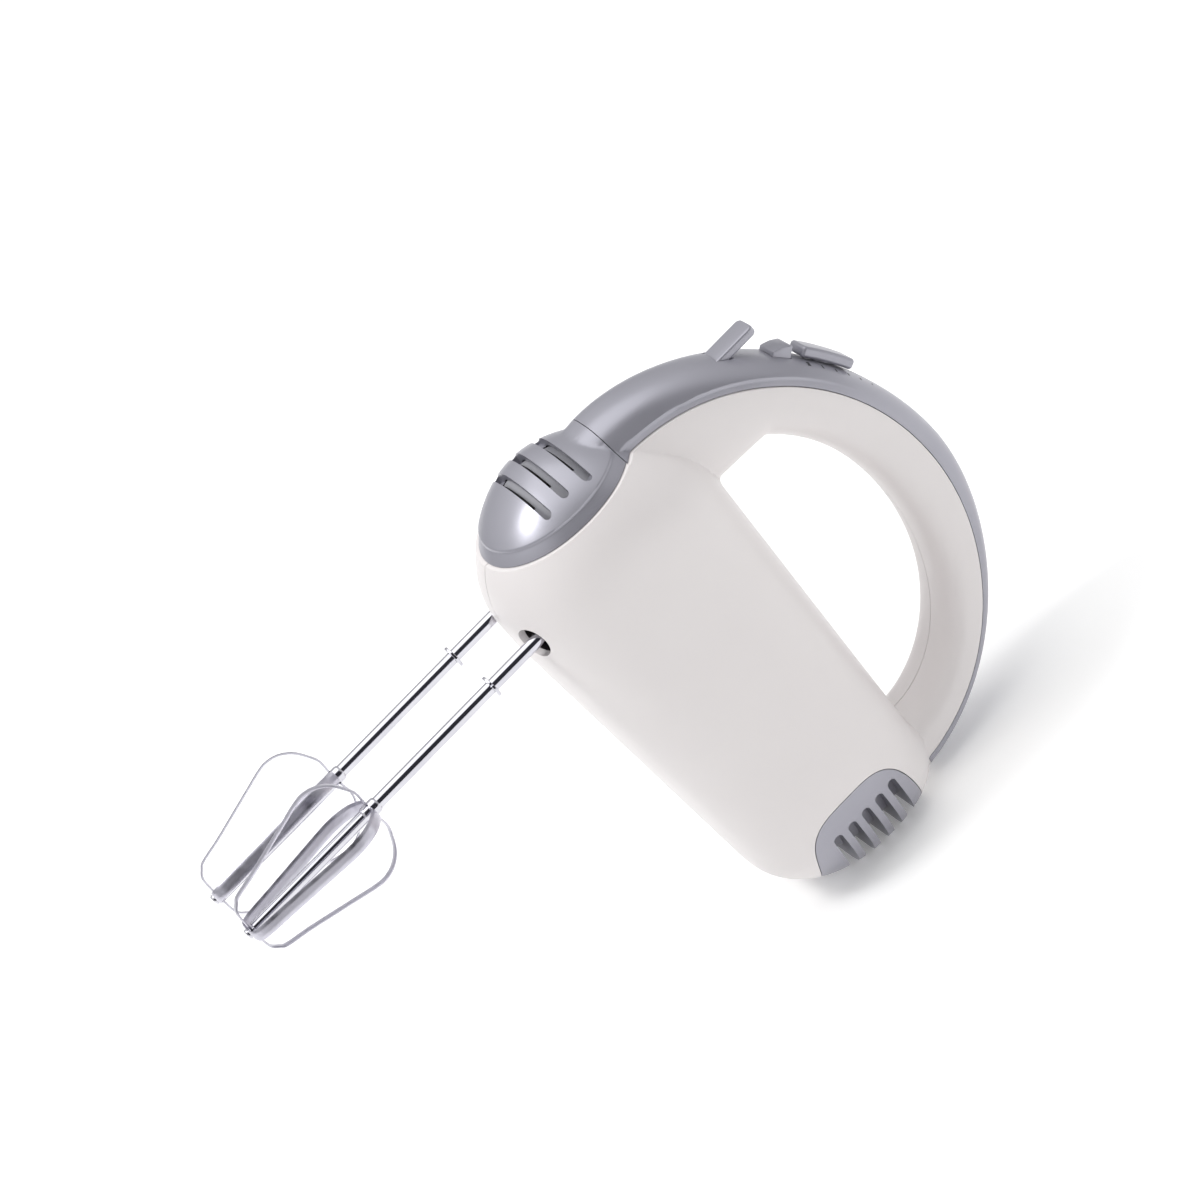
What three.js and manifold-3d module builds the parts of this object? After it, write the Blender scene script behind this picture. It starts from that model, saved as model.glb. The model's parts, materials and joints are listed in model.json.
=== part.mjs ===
// A hand mixer, stood on its heel: +Z runs from the heel to the nose, +X points out of the handle,
// the beaters point along -X, and the parting plane of the two shells is y = 0. Millimetres.
import * as THREE from "three";
import { LoftGeometry } from "three/addons/geometries/LoftGeometry.js";
import { mergeVertices } from "three/addons/utils/BufferGeometryUtils.js";
import Module from "manifold-3d";

const wasm = await Module();
wasm.setup();

// ---------------------------------------------------------------- driving dimensions

const GAP = 0.3; // between pieces that touch
const WALL = 2.5; // moulded wall of the shells, cover and cap

// Body: a long rounded form, round at the nose and flat at the heel
const NOSE_Z = 213;
const BODY_HALF_WIDTH = 39.5;
const BODY_FRONT = { z: 150, halfHeight: 46.5 };
const BODY_REAR = { z: 25, halfHeight: 39.5 };
const NOSE_START_HEIGHT = 165; // where top and bottom begin to close in
const NOSE_START_WIDTH = 172; // where the sides begin to close in
const HEEL = { halfHeight: 17, halfWidth: 16.3, roundHeight: 24.5, roundWidth: 56, power: 2.25 };
const BODY_X = { heel: 1.7, middle: -5.5, nose: -7 };

// Handle: a hoop from the nose to the heel
const HOOP = { x: 20, z: 100, radiusX: 95.5, frontZ: 108, rearZ: 99, power: 1.87 };
const GRIP_OPENING = { x: 36, z: 96, radiusX: 51, radiusZ: 70, frontZ: 155 };
const COVER_SEAM = { x: 20, z: 101.5, radiusX: 86.5, radiusZ: 93, frontX: 18.5, rearX: 30.5 };
const CAP_SEAM_Z = 195;
const LEG_ANGLE = 96; // the hoop's ends, in degrees each way from straight up

// Heel grille
const RIB_PITCH = 7.2;
const SLOT = { width: 4.2, depth: 6, sideEnd: 28, count: 5, firstX: 10.8 };
const GRILLE = { x: -6, radiusX: 24.5, radiusZ: 38.3, power: 3.4, wall: 7.6 };

// Nose slots
const NOSE_SLOTS = { xs: [4, -6, -15.5], height: 3.6, halfWidth: 24.5, rearZ: 201 };

// Drive line
const AXIS_X = -5.5; // motor shaft, and the middle plane of the worm wheels
const SPINDLE_Y = 17.5; // half the distance between the beaters
const SPINDLE_Z = 168;
const WHEEL_TEETH = 27;
const WORM_STARTS = 2;
const WHEEL_RADIUS = 13; // pitch circle
const WORM_RADIUS = SPINDLE_Y - WHEEL_RADIUS;
const WORM_LEAD = (WORM_STARTS * 2 * Math.PI * WHEEL_RADIUS) / WHEEL_TEETH;
const WHEEL_HALF_THICKNESS = 4;

// Beaters
const BEATER = {
  topX: -25,
  shaftRadius: 2.55,
  hubRadius: 3.1,
  rivetRadius: 1.3,
  collarX: -71.3,
  hubX: -133,
  wideX: -147,
  wideRadius: 21.8,
  footX: -191.5,
  footRadius: 11.6,
  tipX: -194.6,
  stripWidth: 5,
  stripThickness: 0.8,
};
const BEATER_ANGLE = { left: -14, right: -31 }; // so that the strips of one pass between the other's

// Controls
const EJECT_TRAVEL = 5;
const LEVER = { zRear: 185.5, zFront: 189, halfWidth: 5.75, topX: 88, bottomX: 21.4 };
const TURBO = { z: 171, halfLength: 3.9, halfWidth: 5.5, proud: 4.5 };
const SLIDER = { frontZ: 164.6, rearZ: 145.6, halfWidth: 5.75, thickness: 4.2, float: 0.6 };

// Motor
const STATOR = { z0: 60, z1: 112, half: 23, bore: 15.2 };
const CORE = { z0: 62, z1: 110, radius: 14.4, slots: 12 };
const FRAME_PLATE = { z0: 140, z1: 144, halfWidth: 29 };
const UPPER_SHELF = { x0: 5, x1: 9 };
const LOWER_SHELF = { x0: -22, x1: -18 };
const SHELF_END_Z = 184;
const LONG_SCREW_OFFSET = 19.6;
const SHELL_SCREWS = [
  [-36, 48],
  [-38, 134],
  [25, 50],
  [28, 132],
  [101, 100],
]; // x, z

// ---------------------------------------------------------------- materials

const plastic = (color, roughness) =>
  new THREE.MeshStandardMaterial({ color, roughness, metalness: 0 });
const metal = (color, roughness) =>
  new THREE.MeshStandardMaterial({ color, roughness, metalness: 1 });
const WHITE = 0xecebe8;
const GREY = 0xa7a6ae;

// ---------------------------------------------------------------- geometry helpers

const rad = THREE.MathUtils.degToRad;
const vec = (x, y, z) => new THREE.Vector3(x, y, z);

// A closed geometry as a solid for cutting and joining
function solid(geometry) {
  geometry.deleteAttribute("normal");
  geometry.deleteAttribute("uv");
  const merged = mergeVertices(geometry, 1e-4);
  const index = merged.index.array;
  const triangles = [];
  for (let i = 0; i < index.length; i += 3) {
    const [a, b, c] = [index[i], index[i + 1], index[i + 2]];
    if (a !== b && b !== c && c !== a) triangles.push(a, b, c);
  }
  return new wasm.Manifold(
    new wasm.Mesh({
      numProp: 3,
      vertProperties: merged.attributes.position.array,
      triVerts: new Uint32Array(triangles),
    }),
  );
}

// A solid as a geometry that a mesh can show
function geometryOf(body) {
  const mesh = body.getMesh();
  const geometry = new THREE.BufferGeometry();
  geometry.setAttribute("position", new THREE.BufferAttribute(mesh.vertProperties, 3));
  geometry.setIndex(new THREE.BufferAttribute(mesh.triVerts, 1));
  const flat = geometry.toNonIndexed();
  flat.computeVertexNormals();
  return flat;
}

const unite = (...bodies) => bodies.reduce((all, body) => all.add(body));
const cut = (body, ...tools) => tools.reduce((left, tool) => left.subtract(tool), body);

function block(x0, x1, y0, y1, z0, z1) {
  const box = new THREE.BoxGeometry(x1 - x0, y1 - y0, z1 - z0);
  box.translate((x0 + x1) / 2, (y0 + y1) / 2, (z0 + z1) / 2);
  return solid(box);
}

// Turns a geometry made about +Y so that its axis lies along the named one
function alongAxis(geometry, axis) {
  if (axis === "x") geometry.rotateZ(-Math.PI / 2);
  if (axis === "z") geometry.rotateX(Math.PI / 2);
  return geometry;
}

// A round bar along an axis, from one place to another; at holds the two other coordinates' point
function bar(axis, radius, from, to, at, sides = 24) {
  const round = alongAxis(new THREE.CylinderGeometry(radius, radius, to - from, sides), axis);
  const middle = (from + to) / 2;
  round.translate(
    axis === "x" ? middle : at.x,
    axis === "y" ? middle : at.y,
    axis === "z" ? middle : at.z,
  );
  return solid(round);
}

// A turned piece: the profile lists [radius, place along the axis]
function turned(axis, profile, at, sides = 24) {
  const points = profile.map(([r, along]) => new THREE.Vector2(r, along));
  const round = alongAxis(new THREE.LatheGeometry(points, sides), axis);
  round.translate(at.x, at.y, at.z);
  let body = solid(round);
  if (body.volume() < 0) {
    points.reverse();
    body = solid(
      alongAxis(new THREE.LatheGeometry(points, sides), axis).translate(at.x, at.y, at.z),
    );
  }
  return body;
}

// A ring with a square section
function ring(axis, inner, outer, from, to, at, sides = 24) {
  const profile = [
    [inner, from],
    [outer, from],
    [outer, to],
    [inner, to],
    [inner, from],
  ];
  return turned(axis, profile, at, sides);
}

// An outline of [x, z] points, extruded from y0 to y1
function slabY(outline, y0, y1) {
  const shape = new THREE.Shape(outline.map(([x, z]) => new THREE.Vector2(x, z)));
  const slab = new THREE.ExtrudeGeometry(shape, { depth: y1 - y0, bevelEnabled: false });
  slab.rotateX(Math.PI / 2);
  slab.translate(0, y1, 0);
  return solid(slab);
}

// An outline of [x, y] points, extruded from z0 to z1
function slabZ(outline, z0, z1) {
  const shape = new THREE.Shape(outline.map(([x, y]) => new THREE.Vector2(x, y)));
  const slab = new THREE.ExtrudeGeometry(shape, { depth: z1 - z0, bevelEnabled: false });
  slab.translate(0, 0, z0);
  return solid(slab);
}

// A signed power, which makes a superellipse from a sine and a cosine
const bulge = (value, power) => Math.sign(value) * Math.abs(value) ** (2 / power);

// Points of a superellipse, counterclockwise
function superellipse(x, y, radiusX, radiusY, power, count) {
  const points = [];
  for (let i = 0; i < count; i++) {
    const angle = (i / count) * 2 * Math.PI;
    points.push([
      x + radiusX * bulge(Math.cos(angle), power),
      y + radiusY * bulge(Math.sin(angle), power),
    ]);
  }
  return points;
}

function loft(sections) {
  const closed = new LoftGeometry(sections, { capStart: true, capEnd: true });
  return solid(new THREE.BufferGeometry().copy(closed));
}

// ---------------------------------------------------------------- the outer forms

const { lerp, clamp, smoothstep } = THREE.MathUtils;

// Half height, half width, centre and squareness of the body's section at z
function bodySection(z) {
  const along = (z - BODY_REAR.z) / (BODY_FRONT.z - BODY_REAR.z);
  let halfHeight = lerp(BODY_REAR.halfHeight, BODY_FRONT.halfHeight, clamp(along, 0, 1.05));
  let halfWidth = BODY_HALF_WIDTH;
  let power = lerp(2.9, 2.6, clamp(along, 0, 1));
  let x = BODY_X.middle;
  if (z < HEEL.roundHeight) {
    const t = (HEEL.roundHeight - z) / HEEL.roundHeight;
    halfHeight = lerp(HEEL.halfHeight, halfHeight, Math.sqrt(1 - t * t));
    power = lerp(2.9, HEEL.power, t * t);
    x = lerp(BODY_X.middle, BODY_X.heel, t);
  }
  if (z < HEEL.roundWidth) {
    const t = (HEEL.roundWidth - z) / HEEL.roundWidth;
    halfWidth = lerp(HEEL.halfWidth, halfWidth, Math.sqrt(1 - t * t));
  }
  if (z > NOSE_START_HEIGHT) {
    const t = (z - NOSE_START_HEIGHT) / (NOSE_Z - NOSE_START_HEIGHT);
    halfHeight *= Math.max(1 - t * t, 0) ** 0.6;
    power = lerp(2.6, 2.05, smoothstep(t, 0, 0.6));
    x = lerp(BODY_X.middle, BODY_X.nose, smoothstep(t, 0, 0.6));
  }
  if (z > NOSE_START_WIDTH) {
    const t = (z - NOSE_START_WIDTH) / (NOSE_Z - NOSE_START_WIDTH);
    halfWidth *= Math.sqrt(Math.max(1 - t * t, 0));
  }
  return { halfHeight, halfWidth, power, x };
}

// The body's form, shrunk all round by an inset
const BODY_STATIONS = [0, 1.2, 4.5, 11, 24.5, 40, 56, 150, 167, 179, 189, 197, 204, 209.5, 212.5];
function bodyForm(inset, count = 24) {
  const sections = BODY_STATIONS.map((z) => {
    const s = bodySection(z);
    const shrunk = inset + (z * (NOSE_Z - 2 * inset)) / NOSE_Z;
    const outline = superellipse(
      s.x,
      0,
      Math.max(s.halfHeight - inset, 0.6),
      Math.max(s.halfWidth - inset, 0.6),
      s.power,
      count,
    );
    return outline.map(([x, y]) => vec(x, y, shrunk));
  });
  return loft(sections);
}

// Distance from the hoop's centre to its outer edge, at an angle from +X towards +Z
function hoopOuter(angle) {
  const c = Math.abs(Math.cos(angle)) / HOOP.radiusX;
  const s = Math.abs(Math.sin(angle)) / (angle > 0 ? HOOP.frontZ : HOOP.rearZ);
  return (c ** HOOP.power + s ** HOOP.power) ** (-1 / HOOP.power);
}

// Height of the front half of the hoop's outer edge at z
const hoopTopX = (z) =>
  HOOP.x +
  HOOP.radiusX * (1 - ((z - HOOP.z) / HOOP.frontZ) ** HOOP.power) ** (1 / HOOP.power);

// Distance from the hoop's centre to the edge of the grip opening
function hoopInner(angle) {
  const [c, s] = [Math.cos(angle), Math.sin(angle)];
  const [dx, dz] = [HOOP.x - GRIP_OPENING.x, HOOP.z - GRIP_OPENING.z];
  const [rx, rz] = [GRIP_OPENING.radiusX, GRIP_OPENING.radiusZ];
  const a = (c / rx) ** 2 + (s / rz) ** 2;
  const b = (c * dx) / rx ** 2 + (s * dz) / rz ** 2;
  const k = (dx / rx) ** 2 + (dz / rz) ** 2 - 1;
  const curve = (-b + Math.sqrt(b * b - a * k)) / a;
  const straight = s > 0 ? (GRIP_OPENING.frontZ - HOOP.z) / s : Infinity;
  return Math.min(curve, straight);
}

// Half width of the handle across Y: widest at the nose
function hoopHalfWidth(angle) {
  const front = smoothstep(Math.sin(angle), 0.2, 1);
  const rear = smoothstep(-Math.sin(angle), 0.4, 1);
  return 15.6 + 3 * front + 1.4 * rear;
}

// The handle's form, shrunk all round by an inset
function hoopForm(inset, steps = 22, count = 16) {
  const sections = [];
  for (let i = 0; i <= steps; i++) {
    const angle = rad(lerp(-LEG_ANGLE, LEG_ANGLE, i / steps));
    const [outer, inner] = [hoopOuter(angle) - inset, hoopInner(angle) + inset];
    const middle = (outer + inner) / 2;
    const outline = superellipse(
      middle,
      0,
      (outer - inner) / 2,
      hoopHalfWidth(angle) - inset,
      2.6,
      count,
    );
    sections.push(
      outline.map(([r, y]) =>
        vec(HOOP.x + r * Math.cos(angle), y, HOOP.z + r * Math.sin(angle)),
      ),
    );
  }
  return loft(sections);
}

const FAR = 300; // reaches past the object on every side

// Everything outside the seam between the cover and the shells, moved inwards by an offset
function coverRegion(offset) {
  const { x, z, radiusX, radiusZ, frontX, rearX } = COVER_SEAM;
  const all = unite(
    block(frontX - offset, FAR, -FAR, FAR, z, FAR),
    block(rearX - offset, FAR, -FAR, FAR, -FAR, z + 1),
  );
  const inside = superellipse(x, z, radiusX - offset, radiusZ - offset, 2, 48);
  return cut(all, slabY(inside, -FAR, FAR));
}

const capRegion = (offset) =>
  block(-FAR, COVER_SEAM.frontX - GAP + offset, -FAR, FAR, CAP_SEAM_Z - offset, FAR);

// The heel grille's outline from the side: a superellipse's upper half, then straight down
function grilleRegion(offset) {
  const outline = [];
  const steps = 14;
  for (let i = 0; i <= steps; i++) {
    const angle = (i / steps) * Math.PI;
    outline.push([
      GRILLE.x + (GRILLE.radiusX + offset) * bulge(Math.cos(angle), GRILLE.power),
      (GRILLE.radiusZ + offset) * bulge(Math.sin(angle), GRILLE.power),
    ]);
  }
  outline.push([GRILLE.x - GRILLE.radiusX - offset, -20], [GRILLE.x + GRILLE.radiusX + offset, -20]);
  return slabY(outline, -FAR, FAR);
}

const outerForm = unite(bodyForm(0), hoopForm(0));
const innerForm = unite(bodyForm(WALL, 16), hoopForm(WALL, 16, 12));
const skin = cut(outerForm, innerForm);

// ---------------------------------------------------------------- shells, cover, cap, grille

const spindlePoint = (side) => vec(0, side * SPINDLE_Y, SPINDLE_Z);
const GLAND = { x: 24, outer: 5.2, inner: 3.1, flange: 6.8 };
const BOSS = { radius: 4, hole: 1.75, headHole: 3.4, headY: 13 };

const turboTilt = () => {
  const lean = (TURBO.z - HOOP.z) / HOOP.frontZ;
  const x = hoopTopX(TURBO.z);
  const nx = ((x - HOOP.x) / HOOP.radiusX) ** (HOOP.power - 1) / HOOP.radiusX;
  const nz = lean ** (HOOP.power - 1) / HOOP.frontZ;
  return { x, z: TURBO.z, angle: Math.atan2(nz, nx) };
};
const turbo = turboTilt();

// A block set on the turbo button's own axes: out of the handle, across, and along it
function turboBlock(out0, out1, halfWidth, halfLength) {
  const box = new THREE.BoxGeometry(out1 - out0, 2 * halfWidth, 2 * halfLength);
  box.translate((out0 + out1) / 2, 0, 0);
  box.rotateY(-turbo.angle);
  box.translate(turbo.x, 0, turbo.z);
  return solid(box);
}

// The slider runs on a circle through three places on the handle's outer edge
function sliderCircle() {
  const [a, b, c] = [166, 149, 130].map((z) => [hoopTopX(z), z]);
  const d = 2 * (a[0] * (b[1] - c[1]) + b[0] * (c[1] - a[1]) + c[0] * (a[1] - b[1]));
  const sq = (p) => p[0] ** 2 + p[1] ** 2;
  const x = (sq(a) * (b[1] - c[1]) + sq(b) * (c[1] - a[1]) + sq(c) * (a[1] - b[1])) / d;
  const z = (sq(a) * (c[0] - b[0]) + sq(b) * (a[0] - c[0]) + sq(c) * (b[0] - a[0])) / d;
  return { x, z, radius: Math.hypot(a[0] - x, a[1] - z) };
}
const slide = sliderCircle();
const SLIDER_TRAVEL = rad(9.5);

// A piece of the slider's track between two radii and two angles
function arcSlab(inner, outer, from, to, y0, y1, steps = 8) {
  const edge = (radius, angle) => [
    slide.x + radius * Math.cos(angle),
    slide.z + radius * Math.sin(angle),
  ];
  const points = [];
  for (let i = 0; i <= steps; i++) points.push(edge(outer, lerp(from, to, i / steps)));
  for (let i = steps; i >= 0; i--) points.push(edge(inner, lerp(from, to, i / steps)));
  return slabY(points, y0, y1);
}
const slideAngle = (z) => Math.asin((z - slide.z) / slide.radius);
const sliderFront = slideAngle(SLIDER.frontZ);
const sliderRear = slideAngle(SLIDER.rearZ);
const TONGUE = { halfWidth: 1.6, halfAngle: rad(1.4) };
const tongueAngle = (sliderFront + sliderRear) / 2;

// Holes that the controls, the gland and the beaters need
const leverSlot = block(
  60,
  100,
  -LEVER.halfWidth - 0.5,
  LEVER.halfWidth + 0.5,
  LEVER.zRear - 0.5,
  LEVER.zFront + 0.5,
);
const turboHole = turboBlock(-12, 12, TURBO.halfWidth + 0.4, TURBO.halfLength + 0.4);
const sliderSlot = arcSlab(
  slide.radius - 12,
  slide.radius + 8,
  tongueAngle - SLIDER_TRAVEL - TONGUE.halfAngle - rad(0.5),
  tongueAngle + TONGUE.halfAngle + rad(0.5),
  -TONGUE.halfWidth - 0.4,
  TONGUE.halfWidth + 0.4,
);
const glandHole = unite(
  bar("z", GLAND.outer + GAP, -5, 14, vec(GLAND.x, 0, 0), 16),
  bar("z", GLAND.flange + GAP, 10.7, 14, vec(GLAND.x, 0, 0), 16),
);
const beaterHoles = [-1, 1].map((side) => bar("x", 6.75, -62, -30, spindlePoint(side)));

// One half of the clamshell, with its screw bosses; side is -1 on the left and +1 on the right
function shell(side) {
  const [yLow, yHigh] = side < 0 ? [-FAR, -GAP / 2] : [GAP / 2, FAR];
  const half = block(-FAR, FAR, yLow, yHigh, -FAR, FAR);
  const solidForm = unite(bodyForm(WALL / 2, 16), hoopForm(WALL / 2, 16, 12));
  const posts = SHELL_SCREWS.map(([x, z]) => bar("y", BOSS.radius, -45, 45, vec(x, 0, z), 10));
  const bosses = unite(...posts).intersect(solidForm);
  const outside = unite(coverRegion(GAP), capRegion(GAP), grilleRegion(GAP), glandHole, ...beaterHoles);
  const holes = SHELL_SCREWS.map(([x, z]) => bar("y", BOSS.hole, -15, 45, vec(x, 0, z), 8));
  const heads = SHELL_SCREWS.map(([x, z]) => bar("y", BOSS.headHole, BOSS.headY, 60, vec(x, 0, z), 10));
  return cut(unite(skin, bosses).intersect(half), outside, ...holes, ...heads);
}

const handleCover = cut(skin.intersect(coverRegion(0)), leverSlot, turboHole, sliderSlot, glandHole);

// Wrap-round slots with round ends, cut through the nose cap
function noseSlot(x) {
  const half = NOSE_SLOTS.height / 2;
  const straight = NOSE_SLOTS.halfWidth - half;
  return unite(
    block(x - half, x + half, -straight, straight, NOSE_SLOTS.rearZ, FAR),
    bar("z", half, 190, FAR, vec(x, straight, 0), 12),
    bar("z", half, 190, FAR, vec(x, -straight, 0), 12),
  );
}
const noseCap = cut(skin.intersect(capRegion(0)), ...NOSE_SLOTS.xs.map(noseSlot));

// A second skin behind the slots, open in the middle, that keeps drips off the motor
const guideZone = block(-38, COVER_SEAM.frontX - 6, -FAR, FAR, CAP_SEAM_Z + 2, FAR);
const frontAirGuide = cut(
  cut(bodyForm(WALL + GAP + 0.3, 16), bodyForm(WALL + GAP + 2, 12)).intersect(guideZone),
  ...NOSE_SLOTS.xs.map((x) => block(x - 3, x - 0.4, -14, 14, CAP_SEAM_Z, FAR)),
);

function heelGrille() {
  const wall = cut(bodyForm(0), bodyForm(GRILLE.wall, 12)).intersect(grilleRegion(0));
  const beyondFloor = cut(block(-60, 60, -60, 60, -5, SLOT.sideEnd), bodyForm(SLOT.depth, 12));
  let body = wall;
  for (let i = 0; i < SLOT.count; i++) {
    const x = SLOT.firstX - i * RIB_PITCH;
    const half = SLOT.width / 2;
    body = cut(
      body,
      beyondFloor.intersect(block(x - half, x + half, -60, 60, -5, SLOT.sideEnd)),
      block(x - 1.1, x + 1.1, -15, 15, -5, 20),
    );
  }
  const topBlock = block(SLOT.firstX + SLOT.width / 2, 40, -60, 60, -5, 2.5);
  const bottomBlock = block(-60, SLOT.firstX - 4 * RIB_PITCH - SLOT.width / 2, -60, 60, -5, 4);
  return cut(body, topBlock, bottomBlock, glandHole);
}

const cordGland = turned(
  "z",
  [
    [GLAND.inner, 3],
    [GLAND.outer, 3],
    [GLAND.outer, 11],
    [GLAND.flange, 11.6],
    [GLAND.flange, 13],
    [GLAND.inner, 13],
    [GLAND.inner, 3],
  ],
  vec(GLAND.x, 0, 0),
  16,
);

// ---------------------------------------------------------------- gear frame and motor

const axisPoint = vec(AXIS_X, 0, 0);
const longScrewPoints = [-1, 1].map((side) =>
  vec(AXIS_X + side * LONG_SCREW_OFFSET, side * LONG_SCREW_OFFSET, 0),
);
const SLEEVE = { outer: 5.2, inner: 2.85, bottomX: -44, topX: 9.6 };
const BUSH_OUTER = 8;

function gearFrame() {
  const { z0, z1, halfWidth } = FRAME_PLATE;
  const plate = block(AXIS_X - 22.5, AXIS_X + 22.5, -halfWidth + 3, halfWidth - 3, z0, z1);
  const upper = block(UPPER_SHELF.x0, UPPER_SHELF.x1, -halfWidth, halfWidth, z0 + 1, SHELF_END_Z);
  const lower = block(LOWER_SHELF.x0, LOWER_SHELF.x1, -halfWidth, halfWidth, z0 + 1, SHELF_END_Z);
  const bores = [-1, 1].flatMap((side) => [
    bar("x", BUSH_OUTER + GAP, LOWER_SHELF.x0 - 1, LOWER_SHELF.x1 + 1, spindlePoint(side), 18),
    bar("x", SLEEVE.outer + GAP, UPPER_SHELF.x0 - 1, UPPER_SHELF.x1 + 1, spindlePoint(side), 16),
  ]);
  const screwHoles = longScrewPoints.map((p) => bar("z", 1.9, z0 - 1, z1 + 1, p, 8));
  const bearingBore = bar("z", 8, z0 - 1, z1 + 1, axisPoint);
  return cut(unite(plate, upper, lower), bearingBore, ...bores, ...screwHoles);
}

const spindleBush = (side) =>
  ring("x", SLEEVE.outer + 0.08, BUSH_OUTER, LOWER_SHELF.x0, LOWER_SHELF.x1, spindlePoint(side));

const COIL = { inner: 12.5, outer: 17, halfGap: 10, halfSpan: 17.4, overhang: 7 };

function statorCore() {
  const { z0, z1, half, bore } = STATOR;
  const outline = superellipse(AXIS_X, 0, half, half, 9, 40);
  const windows = [-1, 1].flatMap((up) =>
    [-1, 1].map((across) => {
      const xs = [AXIS_X + up * 10, AXIS_X + up * (COIL.outer + GAP)].sort((a, b) => a - b);
      const ys = [across * (COIL.halfGap - GAP), across * (COIL.halfSpan + GAP)].sort((a, b) => a - b);
      return block(xs[0], xs[1], ys[0], ys[1], z0 - 1, z1 + 1);
    }),
  );
  const screwHoles = longScrewPoints.map((p) => bar("z", 1.9, z0 - 1, z1 + 1, p, 8));
  const shaftHole = bar("z", bore, z0 - 1, z1 + 1, axisPoint, 36);
  return cut(slabZ(outline, z0, z1), shaftHole, ...windows, ...screwHoles);
}

// A field coil: a rectangular winding round one pole, up is +1 or -1
function fieldCoil(up) {
  const xs = [AXIS_X + up * COIL.inner, AXIS_X + up * COIL.outer].sort((a, b) => a - b);
  const [z0, z1] = [STATOR.z0 - COIL.overhang, STATOR.z1 + COIL.overhang];
  const outside = block(xs[0], xs[1], -COIL.halfSpan, COIL.halfSpan, z0, z1);
  const pole = block(
    xs[0] - 1,
    xs[1] + 1,
    -COIL.halfGap,
    COIL.halfGap,
    STATOR.z0 - GAP,
    STATOR.z1 + GAP,
  );
  return cut(outside, pole);
}

const BRACKET = { z0: 24, z1: 28, halfWidth: 9 };
const BEARING = { inner: 3.08, outer: 7.7 };

function rearBracket() {
  const { z0, z1, halfWidth } = BRACKET;
  const plate = block(AXIS_X - STATOR.half, AXIS_X + STATOR.half, -halfWidth, halfWidth, z0, z1);
  const wings = block(AXIS_X - 6, AXIS_X + 6, -24, 24, z0, z1);
  const legs = [-1, 1].map((up) => {
    const xs = [AXIS_X + up * 19, AXIS_X + up * STATOR.half].sort((a, b) => a - b);
    return block(xs[0], xs[1], -halfWidth, halfWidth, z0, STATOR.z0 - GAP);
  });
  return cut(unite(plate, wings, ...legs), bar("z", BEARING.outer + GAP, z0 - 1, z1 + 1, axisPoint));
}

const BRUSH = { z: 42, y0: 9.4, y1: 21, half: 2.5, halfTall: 3 };

// A brush holder stands on a wing of the rear bracket; the brush slides in it towards the commutator
function brushHolder(side) {
  const ys = [side * 10.2, side * 23].sort((a, b) => a - b);
  const body = block(AXIS_X - 5, AXIS_X + 5, ys[0], ys[1], BRACKET.z1 + GAP, BRUSH.z + 5.5);
  const tunnel = block(
    AXIS_X - BRUSH.half - GAP,
    AXIS_X + BRUSH.half + GAP,
    -30,
    30,
    BRUSH.z - BRUSH.halfTall - GAP,
    BRUSH.z + BRUSH.halfTall + GAP,
  );
  return cut(body, tunnel);
}

function carbonBrush(side) {
  const ys = [side * BRUSH.y0, side * BRUSH.y1].sort((a, b) => a - b);
  return block(
    AXIS_X - BRUSH.half,
    AXIS_X + BRUSH.half,
    ys[0],
    ys[1],
    BRUSH.z - BRUSH.halfTall,
    BRUSH.z + BRUSH.halfTall,
  );
}

// A pan-headed screw along Z or Y, its head's top at "top" and its point at "tip"
function screw(axis, at, top, tip, headRadius, shankRadius, headHeight) {
  const way = Math.sign(top - tip);
  const profile = [
    [0, tip],
    [shankRadius * 0.6, tip + way * 0.6],
    [shankRadius, tip + way * 1.6],
    [shankRadius, top - way * headHeight],
    [headRadius, top - way * headHeight],
    [headRadius, top - way * 0.7],
    [headRadius * 0.7, top],
    [0, top],
  ];
  return turned(axis, profile, at, 10);
}

// ---------------------------------------------------------------- rotor

// The shaft with its two-start worm, a ridge that winds to the right
function rotorShaft() {
  const ridge = { root: 3.2, crest: 5.1, z0: SPINDLE_Z - 9, z1: SPINDLE_Z + 9, steps: 30 };
  const lobe = [
    [-52, ridge.root],
    [-30, ridge.crest],
    [0, ridge.crest],
    [30, ridge.crest],
    [52, ridge.root],
    [90, ridge.root],
  ];
  const sections = [];
  for (let i = 0; i <= ridge.steps; i++) {
    const z = lerp(ridge.z0, ridge.z1, i / ridge.steps);
    const turn = ((z - SPINDLE_Z) / WORM_LEAD) * 2 * Math.PI;
    const points = [];
    for (let start = 0; start < WORM_STARTS; start++) {
      for (const [degrees, radius] of lobe) {
        const angle = turn + rad(degrees) + (start * 2 * Math.PI) / WORM_STARTS;
        points.push(vec(AXIS_X + radius * Math.cos(angle), radius * Math.sin(angle), z));
      }
    }
    sections.push(points);
  }
  const plain = turned("z", [[0, 20], [2.2, 20], [3, 21], [3, 186], [2.4, 187], [0, 187]], axisPoint, 20);
  return unite(loft(sections), plain);
}

function armatureCore() {
  const outline = [];
  const { radius, slots } = CORE;
  for (let i = 0; i < slots; i++) {
    const middle = (i / slots) * 2 * Math.PI;
    for (const [degrees, r] of [[-12, radius], [12, radius], [12, 9.5], [18, 9.5]]) {
      const angle = middle + rad(degrees);
      outline.push([AXIS_X + r * Math.cos(angle), r * Math.sin(angle)]);
    }
  }
  return cut(slabZ(outline, CORE.z0, CORE.z1), bar("z", 3 + GAP, CORE.z0 - 1, CORE.z1 + 1, axisPoint));
}

// The rounded bundle of wire at one end of the armature
const windingEnd = (z0, z1) =>
  turned(
    "z",
    [
      [4, z0],
      [9.5, z0],
      [12.2, z0 + (z1 - z0) * 0.3],
      [12.2, z0 + (z1 - z0) * 0.7],
      [9.5, z1],
      [4, z1],
      [4, z0],
    ],
    axisPoint,
    16,
  );

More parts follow.
